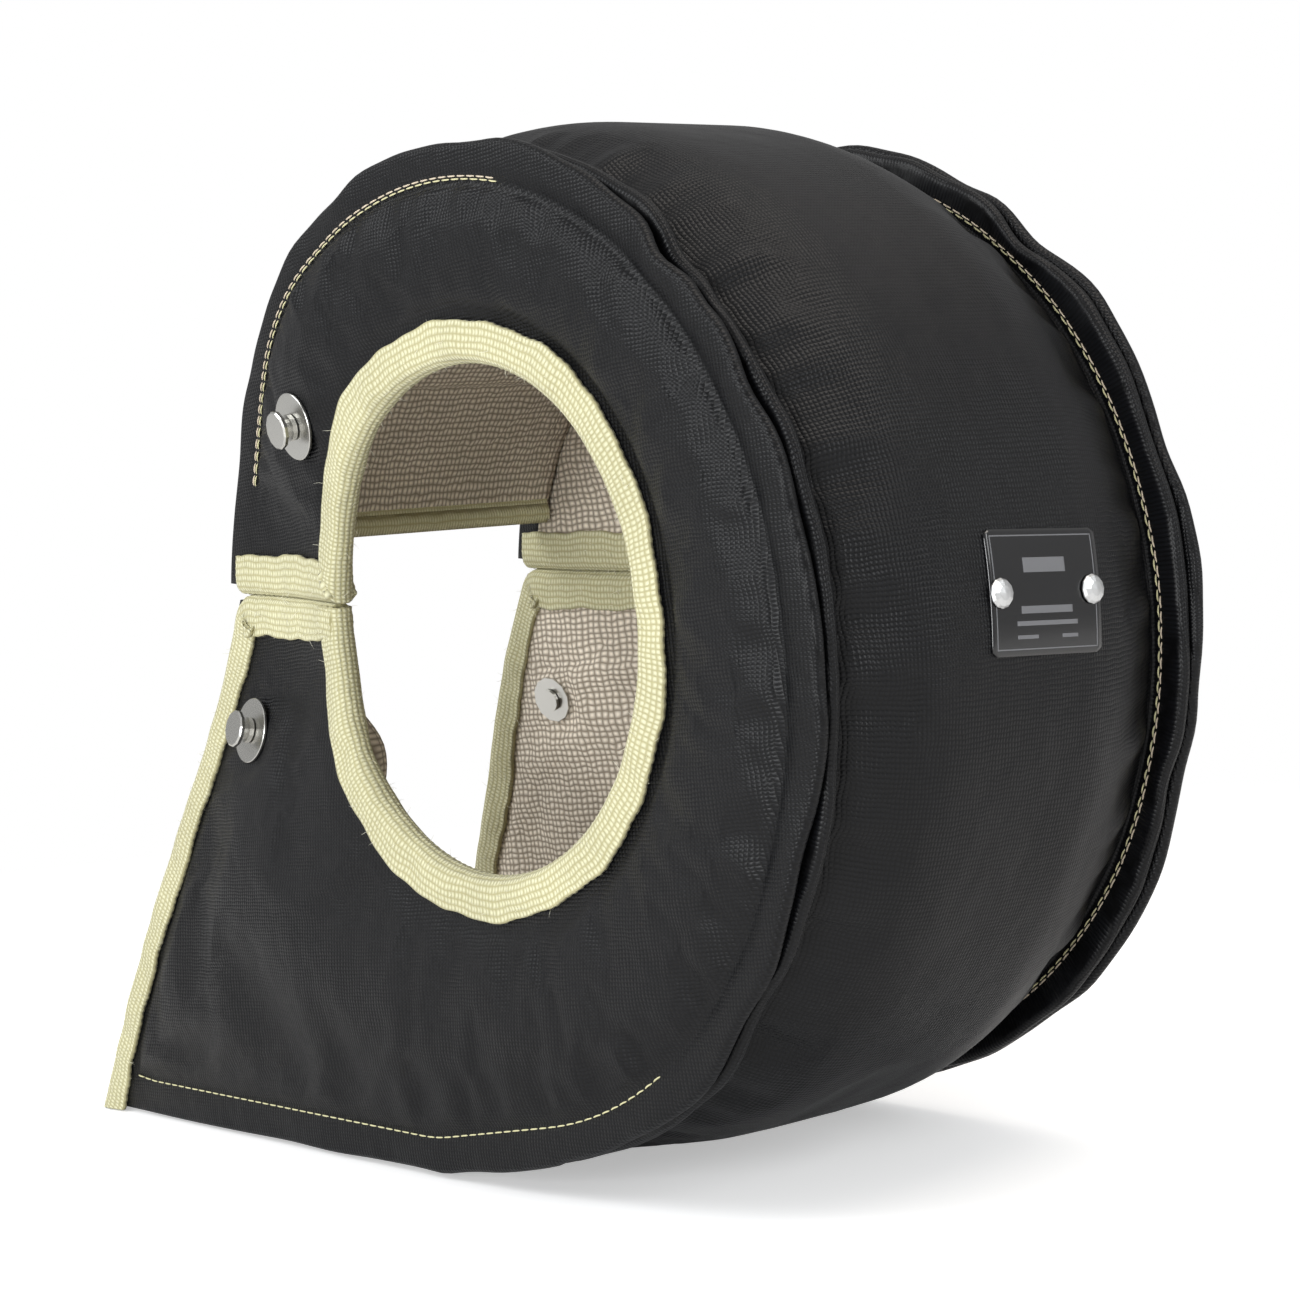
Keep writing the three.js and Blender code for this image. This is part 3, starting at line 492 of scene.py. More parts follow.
def panel_lining(panel, material):
    """The tan cloth on a panel's inner face, tufted between the tape and the seam."""
    side = SIDES[panel]
    row = stations(6, 170)
    hole, tape_end, seam, edge = panel_marks(row, HOLE_RADIUS[panel])
    turn = np.degrees(row.turn)
    depth = puff_of(row) * (LINING_PUFF + waves(turn, 71, (47, 23, 11), (0.5, 0.4, 0.25)))
    # Below the slit the loose lining sags into the front hole's view
    sag = LINING_SAG * np.exp(-(((turn - 330) / 15) ** 2)) * (panel == "front")
    field = np.linspace(0, 1, 24)[None, :]
    field_level = -EDGE_PADDING - depth[:, None] * pillow(field) * smooth(field, 0, 0.12)
    field_level = field_level - sag[:, None] * smooth(field, 0, 0.12) * (1 - smooth(field, 0.3, 0.9))
    one = np.ones((len(hole), 1))
    last = np.where(row.leg, edge - 2, seam + 0.4)
    under_tape = between(hole + 0.6, tape_end, 4, ends=False)
    past_seam = between(seam, last, 3)[:, 1:]
    distance = np.concatenate([under_tape, between(tape_end, seam, 24), past_seam], axis=1)
    flat = -EDGE_PADDING * one
    level = np.concatenate([np.repeat(flat, 4, 1), field_level, np.repeat(flat, 2, 1)], axis=1)
    point = row.point(distance)
    spots = stand(point, side * (RIM_PLANE + level))
    rows = len(distance)
    piece = sheet_of(f"{panel}_lining_cloth", spots, turned_uv(point, LINING_TURN))
    face_to(piece, -side)
    share = field.ravel()
    loose = smooth(share[1:], 0, 0.15) * (1 - smooth(share[1:], 0.85, 1))
    held = np.concatenate([np.ones(5), 1 - loose, np.ones(2)])
    ends = np.minimum(np.arange(rows), np.arange(rows)[::-1])[:, None]
    held = np.maximum(np.tile(held, (rows, 1)), 1 - smooth(ends, 4, 14))
    swell(piece, held.ravel(), pressure=1.5, growth=0.012, cap=2.0)
    for post in ("upper", "lower"):
        seat_under(piece, f"{panel}_{post}_clip", -side, 7.5)
    thicken(piece, CLOTH)
    return finish_piece(piece, material, "lining_cloth", f"{panel}_lining")


def panel_mat(panel, material):
    """The needled mat inside a panel, a little thinner than the room between its two cloths."""
    side = SIDES[panel]
    row = stations(4, 110)
    hole, tape_end, seam, edge = panel_marks(row, HOLE_RADIUS[panel])
    puff = puff_of(row)[:, None]
    field = np.linspace(0, 1, 10)[None, :]
    distance = between(hole + 1.5, np.where(row.leg, edge - 1.5, seam - 5), 10)
    swellings = pillow(np.clip((distance - tape_end[:, None]) / (seam - tape_end)[:, None], 0, 1)) * puff
    upper = PANEL_TOP - CLOTH - 0.6 + MAT_PUFF * swellings * (1 - smooth(field, 0.9, 1))
    lower = -EDGE_PADDING + CLOTH + 0.4 - MAT_PUFF * swellings * (1 - smooth(field, 0.9, 1))
    ring = np.concatenate([distance, distance[:, ::-1]], axis=1)
    level = np.concatenate([upper, lower[:, ::-1]], axis=1)
    spots = stand(row.point(ring), side * (RIM_PLANE + level))
    piece = closed_loft(f"{panel}_mat", spots)
    return finish_piece(piece, material, "insulation_mat", f"{panel}_insulation", fill=0.6)


def closed_loft(name, rings, uv=None):
    """A closed body through rings of points, capped at its two ends."""
    rows, columns = rings.shape[:2]
    faces = grid_faces(rows, columns, closed=True).tolist()
    faces.append(list(range(columns)))
    faces.append(list(range((rows - 1) * columns, rows * columns))[::-1])
    piece = build(name, rings.reshape(-1, 3), faces, uv)
    set_outward(piece)
    return piece


def set_outward(piece):
    """Turns a closed body's faces outward."""
    mesh = piece.data
    volume = sum(p.center.dot(p.normal) * p.area for p in mesh.polygons)
    if volume < 0:
        mesh.flip_normals()


# Wall: cover, lining and mat
WALL_UPPER_END = SLIT_SHIFT + TAPE_COVER + TAPE_MARGIN + TAPE_REACH
WALL_LOWER_END = -TIP_REACH + (TAPE_COVER + TAPE_MARGIN + (WALL_PADDING + CLOTH) * LEG_ALONG[0]) / LEG_IN[0]


def wall_stations(round_steps, base_steps, end_steps=6):
    """Rays from the wall's upper end, over the top and under the drum, to its lower end at the tip."""
    beside = np.linspace(WALL_UPPER_END, WALL_UPPER_END + FLAT_ZONE, end_steps)
    turn = np.linspace(math.radians(20), ROUND_END, round_steps)
    near = np.linspace(0, 1, 10)[1:-1]
    first_shift = WALL_UPPER_END + FLAT_ZONE
    shift = first_shift * np.maximum(0, 1 - (turn - turn[0]) / SHIFT_FADE) ** 1.5 * 0.72
    near_turn = turn[0] * near
    near_shift = first_shift + (shift[0] - first_shift) * near
    turns = np.concatenate([np.zeros(end_steps), near_turn, turn])
    shifts = np.concatenate([beside, near_shift, shift])
    angle = SLIT_ANGLE - turns
    direction = np.stack([np.cos(angle), np.sin(angle)], -1)
    x = np.linspace(SLOPE_POINT[0], WALL_LOWER_END, base_steps + 1)[1:]
    on_slope = SLOPE_POINT[1] + (x - SLOPE_POINT[0]) * -math.tan(BASE_SLOPE) * -1
    z = np.where(x > BASE_START, on_slope, BASE_LEVEL)
    target = np.stack([x, z], -1)
    inward = HOLE_CENTRE - target
    inward = inward / np.linalg.norm(inward, axis=1, keepdims=True)
    upright = smooth(-x, -SLOPE_POINT[0], 60)[:, None]
    low = -(inward * (1 - upright) + np.array([0.0, 1.0]) * upright)
    low = low / np.linalg.norm(low, axis=1, keepdims=True)
    across = np.stack([low[:, 1], -low[:, 0]], -1)
    low_shift = ((target - HOLE_CENTRE) * across).sum(-1)
    low_turn = SLIT_ANGLE - np.arctan2(target[:, 1] - HOLE_CENTRE[1], target[:, 0] - HOLE_CENTRE[0])
    count = len(turns) + len(x)
    is_round = np.arange(count) < len(turns)
    return Stations(
        np.concatenate([direction, low]), np.concatenate([shifts, low_shift]),
        np.concatenate([turns, low_turn]), is_round, np.zeros(count, bool),
    )


def wall_puff(row):
    """How full the wall's padding is along its length: flat at its two taped ends."""
    count = len(row.turn)
    ends = np.minimum(np.arange(count), np.arange(count)[::-1])
    return smooth(ends, 4, 22)


def crown_inset(row, share):
    """How deep the wall's cloth lies below the rims, from -1 at the front rim to 1 at the back one."""
    puff = wall_puff(row)[:, None]
    crown = PINCHED_CROWN + (RIM_SEAM - PINCHED_CROWN) * puff + FULL_CROWN * row.gather[:, None]
    power = np.where(share > 0, BACK_CROWN_POWER, CROWN_POWER)
    fall = np.maximum(0, (np.abs(share) - CROWN_FLAT) / (1 - CROWN_FLAT)) ** power
    return RIM_SEAM - crown * (1 - fall)


def wall_spots(row, inset, y):
    """Where the wall's points stand, from their insets and depths."""
    distance = np.stack([row.to_rim(inset[:, j]) for j in range(inset.shape[1])], axis=1)
    return stand(row.point(distance), y)


def wall_uv(row, y):
    """The cloth's threads on the wall, along the rim and across it."""
    rim = row.point(row.to_rim(0)[:, None])[:, 0]
    along = np.concatenate([[0], np.cumsum(np.linalg.norm(np.diff(rim, axis=0), axis=1))])
    return np.stack([np.broadcast_to(along[:, None], y.shape), y], -1)


def hem_side(row, panel):
    """Insets and levels of the wall's hem, from its hidden end round the fold to the flange's foot."""
    away, pull = rim_push(row, panel, "wall")
    hemmed = np.where(row.is_round, smooth(np.degrees(row.turn), 4, 16), 0.7)
    sway = rim_sway(row, panel)
    bend = HEM / 2
    tuck = (pull * hemmed)[:, None]
    one = np.ones((len(tuck), 1))
    arc = np.linspace(-math.pi / 2, math.pi / 2, 8)[None, :]
    inset = np.concatenate([
        one * np.linspace(RIM_SEAM - 0.4, bend, 4)[None, :-1] + tuck * np.linspace(0, 1, 4)[None, :-1],
        bend + tuck - bend * np.cos(arc),
        one * np.linspace(bend, RIM_SEAM - 0.8, 8)[None, 1:] + tuck * np.linspace(1, 0, 8)[None, 1:],
    ], axis=1)
    depth = np.concatenate([
        one * np.zeros((1, 3)),
        bend + bend * np.sin(arc) * one,
        one * np.full((1, 7), HEM),
    ], axis=1)
    out = 1 - smooth(inset, 0, RIM_SEAM * 1.1)
    level = RIM_PLANE - HEM_SPACING / 2 - depth + out * (sway - hemmed * away)[:, None]
    return inset, level


def wall_cover(material):
    """The black cloth round the drum, from the fold of one hem over the crown to the fold of the other."""
    row = wall_stations(215, 66)
    front_inset, front_level = hem_side(row, "front")
    back_inset, back_level = hem_side(row, "back")
    share = np.linspace(-1, 1, 46)[None, :]
    share = np.sign(share) * np.abs(share) ** 0.8
    turn = np.degrees(row.turn)[:, None]
    from_middle = np.abs(share)
    near_rim = smooth(from_middle, 0.62, 0.8) * (1 - smooth(from_middle, 0.9, 1)) * wall_puff(row)[:, None]
    folds = [waves(turn, seed, (12.7, 8.3, 5.1), (0.6, 0.42, 0.28)) for seed in (61, 67)]
    crown = crown_inset(row, share) + near_rim * np.where(share < 0, folds[0], folds[1])
    inset = np.concatenate([front_inset, crown[:, 1:-1], back_inset[:, ::-1]], axis=1)
    one = np.ones((len(crown), 1))
    y = np.concatenate([-front_level, one * share[:, 1:-1] * FLANGE_FACE, back_level[:, ::-1]], axis=1)
    spots = wall_spots(row, inset, y)
    rows, columns = inset.shape
    piece = sheet_of("wall_cover_cloth", spots, wall_uv(row, y))
    face_outward(piece, (0, 0, 0))
    hem = front_inset.shape[1]
    held = np.ones((rows, columns))
    middle = 1 - smooth(1 - np.abs(share[:, 1:-1]), 0.0, 0.16)
    held[:, hem:-hem] = np.broadcast_to(middle, (rows, columns - 2 * hem))
    ends = np.minimum(np.arange(rows), np.arange(rows)[::-1])[:, None]
    held = np.maximum(held, 1 - smooth(ends, 4, 14))
    swell(piece, held.ravel(), pressure=2.2, growth=0.007, cap=3.0)
    thicken(piece, CLOTH)
    return finish_piece(piece, material, "coated_cloth", "wall_cover")


def rest_on_floor(piece):
    """Keeps a piece from reaching below the floor."""
    low = np.array([v.co for v in piece.data.vertices])
    low[:, 2] = np.maximum(low[:, 2], 0.0)
    piece.data.vertices.foreach_set("co", low.astype(np.float32).ravel())
    piece.data.update()


def wall_lining(material):
    """The tan cloth on the wall's inner face."""
    row = wall_stations(170, 50)
    share = np.linspace(-1, 1, 40)[None, :]
    turn = np.degrees(row.turn)[:, None]
    full = wall_puff(row)[:, None]
    field = pillow((share + 1) / 2)
    tufts = waves(turn, 91, (58, 31, 17), (0.7, 0.5, 0.3)) * field
    inset = WALL_PADDING + CLOTH + full * (3.2 * field + tufts) - 2.4 * (1 - field) * full
    y = np.ones((len(turn), 1)) * share * (FLANGE_FACE + 0.6)
    spots = wall_spots(row, inset, y)
    rows = len(y)
    piece = sheet_of("wall_lining_cloth", spots, wall_uv(row, y))
    face_outward(piece, (0, 0, 0))
    piece.data.flip_normals()
    held = np.tile(1 - smooth(1 - np.abs(share), 0.0, 0.2), (rows, 1))
    ends = np.minimum(np.arange(rows), np.arange(rows)[::-1])[:, None]
    held = np.maximum(held, 1 - smooth(ends, 3, 12))
    swell(piece, held.ravel(), pressure=1.2, growth=0.012, cap=2.5)
    thicken(piece, CLOTH)
    return finish_piece(piece, material, "lining_cloth", "wall_lining")


def wall_mat(material):
    """The needled mat inside the wall, a little thinner than the room between its two cloths."""
    row = wall_stations(90, 30)
    share = np.linspace(-0.93, 0.93, 16)[None, :]
    one = np.ones((len(row.turn), 1))
    upper = crown_inset(row, share) + CLOTH + 0.8
    lower = np.maximum(upper + 0.8, one * (WALL_PADDING - 1.4) + 0 * share)
    inset = np.concatenate([upper, lower[:, ::-1]], axis=1)
    y = np.concatenate([one * share, one * share[:, ::-1]], axis=1) * FLANGE_FACE
    piece = closed_loft("wall_mat", wall_spots(row, inset, y))
    return finish_piece(piece, material, "insulation_mat", "wall_insulation", fill=0.6)


# Binding tape: strips folded over the sewn edges, with their weave standing proud
WEAVE_LONG, WEAVE_WIDE, WEAVE_HEIGHT = 2.2, 1.7, 0.34
UPPER_TAPE_REACH = 116.8
LEG_CORNER_BEND = 5.0


def tape_profile(cover, count):
    """A folded strip's cross-section: how far in from the fold, and how high, with the run along it."""
    half = (TAPE_TOP - TAPE_BOTTOM) / 2
    middle = (TAPE_TOP + TAPE_BOTTOM) / 2
    bend = half * 0.92
    arc = np.linspace(math.pi / 2, -math.pi / 2, 13)
    flat = cover * np.array([1, 0.72, 0.45])
    rise = half + np.array([-0.25, 0, 0.1])
    inward = np.concatenate([flat, bend * (1 - np.cos(arc)), flat[::-1]])
    height = np.concatenate([rise, half * np.sin(arc), -rise[::-1]])
    run = np.concatenate([[0], np.cumsum(np.hypot(np.diff(inward), np.diff(height)))])
    at = np.linspace(0, run[-1], count)
    return np.interp(at, run, inward), np.interp(at, run, height) + middle, at


def tape_strip(name, path, inward, side, material, replaced, step, seed):
    """Folds a woven strip over an edge. path is the fold's line and inward the way its two sides lie."""
    steps = np.linalg.norm(np.diff(path, axis=0), axis=1)
    length = np.concatenate([[0], np.cumsum(steps)])
    count = int(length[-1] / step)
    at = np.linspace(0, length[-1], count)
    path = np.stack([np.interp(at, length, path[:, k]) for k in range(2)], -1)
    inward = np.stack([np.interp(at, length, inward[:, k]) for k in range(2)], -1)
    inward = inward / np.linalg.norm(inward, axis=1, keepdims=True)
    deep, high, run = tape_profile(TAPE_COVER, int(31 / step))
    wander = waves(at, seed, (83, 37, 19, 9), (0.5, 0.35, 0.25, 0.15))
    swell_out = waves(at, seed + 1, (29, 17, 11), (0.35, 0.25, 0.16))
    column, row = np.meshgrid(run, at)
    flat = 1 - smooth(np.abs(column - run[-1] / 2), run[-1] / 2 - 0.6, run[-1] / 2)
    cell = np.sin(2 * math.pi * row / WEAVE_LONG + math.pi * np.floor(column / WEAVE_WIDE))
    weft = np.abs(np.sin(math.pi * column / WEAVE_WIDE)) ** 0.6
    relief = WEAVE_HEIGHT * (weft * (0.6 + 0.4 * cell) - 0.3) * flat
    middle = (TAPE_TOP + TAPE_BOTTOM) / 2
    stretch = deep[None, :] * (1 + wander[:, None] / TAPE_COVER)
    puffed = 1 + (swell_out[:, None] / 4) * np.sin(math.pi * np.clip(deep / TAPE_COVER, 0, 1))[None, :]
    rise = (high[None, :] - middle) * puffed
    out_of = np.stack([np.gradient(rise, axis=1), -np.gradient(stretch, axis=1)], -1)
    out_of = out_of / np.maximum(np.linalg.norm(out_of, axis=-1, keepdims=True), 1e-9)
    stretch = stretch + out_of[..., 0] * relief
    rise = rise + out_of[..., 1] * relief * -1
    point = path[:, None, :] + inward[:, None, :] * stretch[..., None]
    spots = stand(point, side * (RIM_PLANE + middle + rise))
    piece = sheet_of(name, spots, np.stack([row, column], -1))
    mesh = piece.data
    chosen = [mesh.polygons[i] for i in range(0, len(mesh.polygons), max(1, len(mesh.polygons) // 400))]
    normals = np.array([p.normal for p in chosen])
    centres = np.array([p.center for p in chosen])
    inner = stand(path + inward * 5, side * (RIM_PLANE + middle) + 0 * at) + PLACE
    near = np.array([inner[np.argmin(np.linalg.norm(inner - c / METRE, axis=1))] for c in centres]) * METRE
    if ((centres - near) * normals).sum() < 0:
        mesh.flip_normals()
    thicken(piece, TAPE - 0.2)
    return finish_piece(piece, material, "binding_tape", replaced)


def hole_binding(panel, material, step):
    """The strip along the slit's upper edge and on round the hole, with its fold at the slit."""
    radius = HOLE_RADIUS[panel]
    side = SIDES[panel]
    across = np.array([SLIT_WAY[1], -SLIT_WAY[0]])
    upper_start = HOLE_CENTRE + SLIT_WAY * UPPER_TAPE_REACH + across * SLIT_MEET
    corner = math.asin(abs(SLIT_MEET) / radius)
    turn = np.linspace(corner, FULL_TURN - corner, 400)
    angle = SLIT_ANGLE - turn
    ring = HOLE_CENTRE + radius * np.stack([np.cos(angle), np.sin(angle)], -1)
    ring_in = np.stack([np.cos(angle), np.sin(angle)], -1)
    straight = upper_start + (ring[0] - upper_start) * np.linspace(0, 1, 60)[:-1, None]
    straight_in = np.repeat(across[None, :], 59, axis=0)
    blend = smooth(np.linspace(0, 1, 59), 0.8, 1)[:, None] * 0.35
    straight_in = straight_in * (1 - blend) + ring_in[0] * blend
    turn_in = smooth(turn, 0, 0.16)[:, None]
    ring_in = ring_in * (0.65 + 0.35 * turn_in) + across * (0.35 - 0.35 * turn_in)
    path = np.concatenate([straight, ring])
    inward = np.concatenate([straight_in, ring_in])
    replaced = f"{panel}_hole_binding"
    return tape_strip(f"{panel}_hole_tape", path, inward, side, material, replaced, step, 101)


def leg_binding(panel, material, step):
    """The strip from the hole along the slit's lower edge, over the corner and down the leg to the tip."""
    radius = HOLE_RADIUS[panel]
    side = SIDES[panel]
    across = np.array([SLIT_WAY[1], -SLIT_WAY[0]])
    start = HOLE_CENTRE + SLIT_WAY * (radius + 2.5) - across * SLIT_MEET
    top = LEG_TOP - across * 0.6
    bend = LEG_CORNER_BEND
    into = top + (start - top) / np.linalg.norm(start - top) * bend
    down = top - LEG_ALONG * bend
    first = start + (into - start) * np.linspace(0, 1, 50)[:-1, None]
    share = np.linspace(0, 1, 12)[:, None]
    curve = into * (1 - share) ** 2 + top * 2 * share * (1 - share) + down * share**2
    last = down + (TIP + LEG_ALONG * 0.5 - down) * np.linspace(0, 1, 120)[1:, None]
    path = np.concatenate([first, curve, last])
    corner_in = -across * (1 - share) + LEG_IN * share
    inward = np.concatenate([np.repeat(-across[None], 49, 0), corner_in, np.repeat(LEG_IN[None], 119, 0)])
    replaced = f"{panel}_leg_binding"
    return tape_strip(f"{panel}_leg_tape", path, inward, side, material, replaced, step, 131)


def end_tape(which, material):
    """The strip folded over one end of the wall."""
    row = wall_stations(40, 60, end_steps=10)
    across = np.array([SLIT_WAY[1], -SLIT_WAY[0]])
    y = np.linspace(-FLANGE_FACE, FLANGE_FACE, 150)
    deep = np.linspace(0, TAPE_COVER, 16)
    if which == "upper":
        along = across
        reach = float(row.to_rim(0)[0])
        base = HOLE_CENTRE + across * (WALL_UPPER_END - TAPE_REACH)
        away = SLIT_WAY
        edge = base + away * reach
        low = away * -1
    else:
        along = np.array([1.0, 0.0])
        edge = np.array([WALL_LOWER_END - TAPE_REACH, BASE_LEVEL])
        low = np.array([0.0, 1.0])
    top = RIM_SEAM - PINCHED_CROWN - TAPE_REACH
    bottom = WALL_PADDING + CLOTH + TAPE_REACH
    if which == "lower":
        top = 0.4
    half, middle = (bottom - top) / 2, (bottom + top) / 2
    arc = np.linspace(-math.pi / 2, math.pi / 2, 15)
    nose = min(half, 4.5)
    inward = np.concatenate([deep[::-1][:-1] + 0.0, nose * (1 - np.cos(arc)) * 0.9, deep[1:]])
    depth = np.concatenate([np.full(15, top), middle + half * np.sin(arc), np.full(15, bottom)])
    run = np.concatenate([[0], np.cumsum(np.hypot(np.diff(inward), np.diff(depth)))])
    at = np.linspace(0, run[-1], int(run[-1] / 0.8))
    inward, depth = np.interp(at, run, inward), np.interp(at, run, depth)
    column, rows_y = np.meshgrid(at, y)
    cell = np.sin(2 * math.pi * rows_y / WEAVE_LONG + math.pi * np.floor(column / WEAVE_WIDE))
    relief = WEAVE_HEIGHT * np.abs(np.sin(math.pi * column / WEAVE_WIDE)) ** 0.6 * (0.6 + 0.4 * cell)
    point = edge + along * inward[None, :, None] + low * (depth[None, :, None] + 0 * relief[..., None])
    point = np.broadcast_to(point, relief.shape + (2,))
    spots = stand(point, rows_y)
    piece = sheet_of(f"wall_{which}_tape", spots, np.stack([rows_y, column], -1))
    away_point = edge + along * 6 + low * middle
    face_outward(piece, (away_point[0], 0, away_point[1]))
    thicken(piece, TAPE - 0.2)
    return finish_piece(piece, material, "binding_tape", f"wall_{which}_binding")


# Sewing thread
def stitches(name, lines, material, thread=0.21, length=2.9, gap=0.6):
    """Short arched stitches laid along lines of points, with the way out of the cloth at each point."""
    points, faces = [], []
    sides = 6
    for line, out in lines:
        steps = np.linalg.norm(np.diff(line, axis=0), axis=1)
        run = np.concatenate([[0], np.cumsum(steps)])
        start = 0.0
        while start + length < run[-1]:
            marks = start + length * np.linspace(0, 1, 6)
            spine = np.stack([np.interp(marks, run, line[:, k]) for k in range(3)], -1)
            lift = np.stack([np.interp(marks, run, out[:, k]) for k in range(3)], -1)
            lift = lift / np.maximum(np.linalg.norm(lift, axis=1, keepdims=True), 1e-9)
            arch = np.sin(math.pi * np.linspace(0, 1, 6))[:, None]
            spine = spine + lift * (arch * 0.35 - 0.12)
            way = np.gradient(spine, axis=0)
            way = way / np.linalg.norm(way, axis=1, keepdims=True)
            across = np.cross(way, lift)
            across = across / np.linalg.norm(across, axis=1, keepdims=True)
            up = np.cross(across, way)
            thick = thread * np.array([0.5, 0.95, 1, 1, 0.95, 0.5])[:, None, None]
            turn = np.linspace(0, FULL_TURN, sides, endpoint=False)[None, :, None]
            round_thread = np.cos(turn) * across[:, None, :] + np.sin(turn) * up[:, None, :]
            ring = spine[:, None, :] + thick * round_thread
            base = sum(len(p) for p in points)
            points.append(ring.reshape(-1, 3))
            body = grid_faces(6, sides, closed=True) + base
            faces.extend(body.tolist())
            faces.append(list(range(base, base + sides)))
            faces.append(list(range(base + 5 * sides, base + 6 * sides))[::-1])
            start += length + gap
    piece = build(name, np.concatenate(points), faces)
    return finish_piece(piece, material, "binding_tape")


def on_cloth(piece, starts, way):
    """Where rays from points along a way meet a finished piece, with the cloth's normal there."""
    from mathutils.bvhtree import BVHTree

    graph = bpy.context.evaluated_depsgraph_get()
    tree = BVHTree.FromObject(piece, graph)
    spots, outs = [], []
    for start, ray in zip(starts, way):
        origin = Vector(((start + PLACE) * METRE).tolist())
        spot, normal, _, _ = tree.ray_cast(origin, Vector(ray.tolist()), 0.06)
        if spot is None:
            continue
        if normal.dot(Vector(ray.tolist())) > 0:
            normal = -normal
        spots.append(np.array(spot) / METRE - PLACE)
        outs.append(np.array(normal))
    spots, outs = np.array(spots), np.array(outs)
    # A needle line runs smooth over the cloth's small steps
    even = np.ones(13) / 13
    padded = [np.pad(spots[:, k], 6, mode="edge") for k in range(3)]
    return np.stack([np.convolve(line, even, mode="valid") for line in padded], -1), outs


def rim_thread(cover, panel, inset, first, last):
    """A line of stitches on a panel's face, beside its rim, between two turns from the slit in degrees."""
    row = stations(4, 900)
    turn = np.degrees(row.turn)
    chosen = (turn > first) & (turn < last) & ~row.leg
    distance = row.to_outline(inset, inset)
    point = row.point(distance[:, None])[:, 0][chosen]
    side = SIDES[panel]
    start = stand(point, side * (RIM_PLANE + 25))
    way = np.tile(np.array([0.0, -side, 0.0]), (len(start), 1))
    return on_cloth(cover, start, way)


def wall_thread(cover, panel, inset, first, last):
    """A line of stitches on the wall's side of a rim's flange."""
    row = wall_stations(900, 160)
    turn = np.degrees(row.turn)
    chosen = (turn > first) & (turn < last)
    side = SIDES[panel]
    point = row.point(row.to_rim(inset)[:, None])[:, 0][chosen]
    start = stand(point, side * (FLANGE_FACE - 2.4) + 0 * point[:, 0])
    way = np.tile(np.array([0.0, side, 0.0]), (len(start), 1))
    return on_cloth(cover, start, way)


def fibres(name, strips, material, count=2600):
    """Fine loose fibres that stand off the tapes."""
    points, faces = [], []
    for strip in strips:
        mesh = strip.data
        spots = np.array([v.co for v in mesh.vertices]) / METRE - PLACE
        normals = np.array([v.normal for v in mesh.vertices])
        chosen = noise_draw.integers(0, len(spots), count // len(strips))
        for index in chosen:
            root, out = spots[index], normals[index]
            lean = noise_draw.normal(0, 0.9, 3)
            way = out + lean
            way = way / np.linalg.norm(way)
            reach = noise_draw.uniform(0.6, 2.6)
            curl = noise_draw.normal(0, 0.5, 3)
            across = np.cross(way, curl)
            across = across / max(np.linalg.norm(across), 1e-6)
            other = np.cross(way, across)
            base = len(points)
            for share, thick in ((0.0, 0.055), (0.5, 0.045), (1.0, 0.015)):
                middle = root + way * reach * share + curl * share**2
                for turn in (0, FULL_TURN / 3, 2 * FULL_TURN / 3):
                    points.append(middle + thick * (math.cos(turn) * across + math.sin(turn) * other))
            for ring in (base, base + 3):
                for k in range(3):
                    faces.append([ring + k, ring + (k + 1) % 3, ring + 3 + (k + 1) % 3, ring + 3 + k])
            faces.append([base + 2, base + 1, base])
            faces.append([base + 6, base + 7, base + 8])
    piece = build(name, np.array(points), faces)
    return finish_piece(piece, material, "binding_tape")


# Finishes
def linear(colour):
    """An sRGB hex colour as the linear colour that a shader takes."""
    parts = [int(colour[i : i + 2], 16) / 255 for i in (1, 3, 5)]
    return [c / 12.92 if c <= 0.04045 else ((c + 0.055) / 1.055) ** 2.4 for c in parts] + [1.0]


def node(tree, kind, inputs=(), **settings):
    """Adds a node with its settings, and its sockets' values or links."""
    made = tree.nodes.new(kind)
    for key, value in settings.items():
        setattr(made, key, value)
    for socket, value in dict(inputs).items():
        if isinstance(value, bpy.types.NodeSocket):
            tree.links.new(value, made.inputs[socket])
        else:
            made.inputs[socket].default_value = value
    return made


def finish(name, **values):
    """A named finish with its shader's own values, and the shader to link more to."""
    material = bpy.data.materials.new(name)
    material.use_nodes = True
    shader = material.node_tree.nodes["Principled BSDF"]
    for socket, value in values.items():
        shader.inputs[socket.replace("_", " ")].default_value = value
    return material, material.node_tree, shader


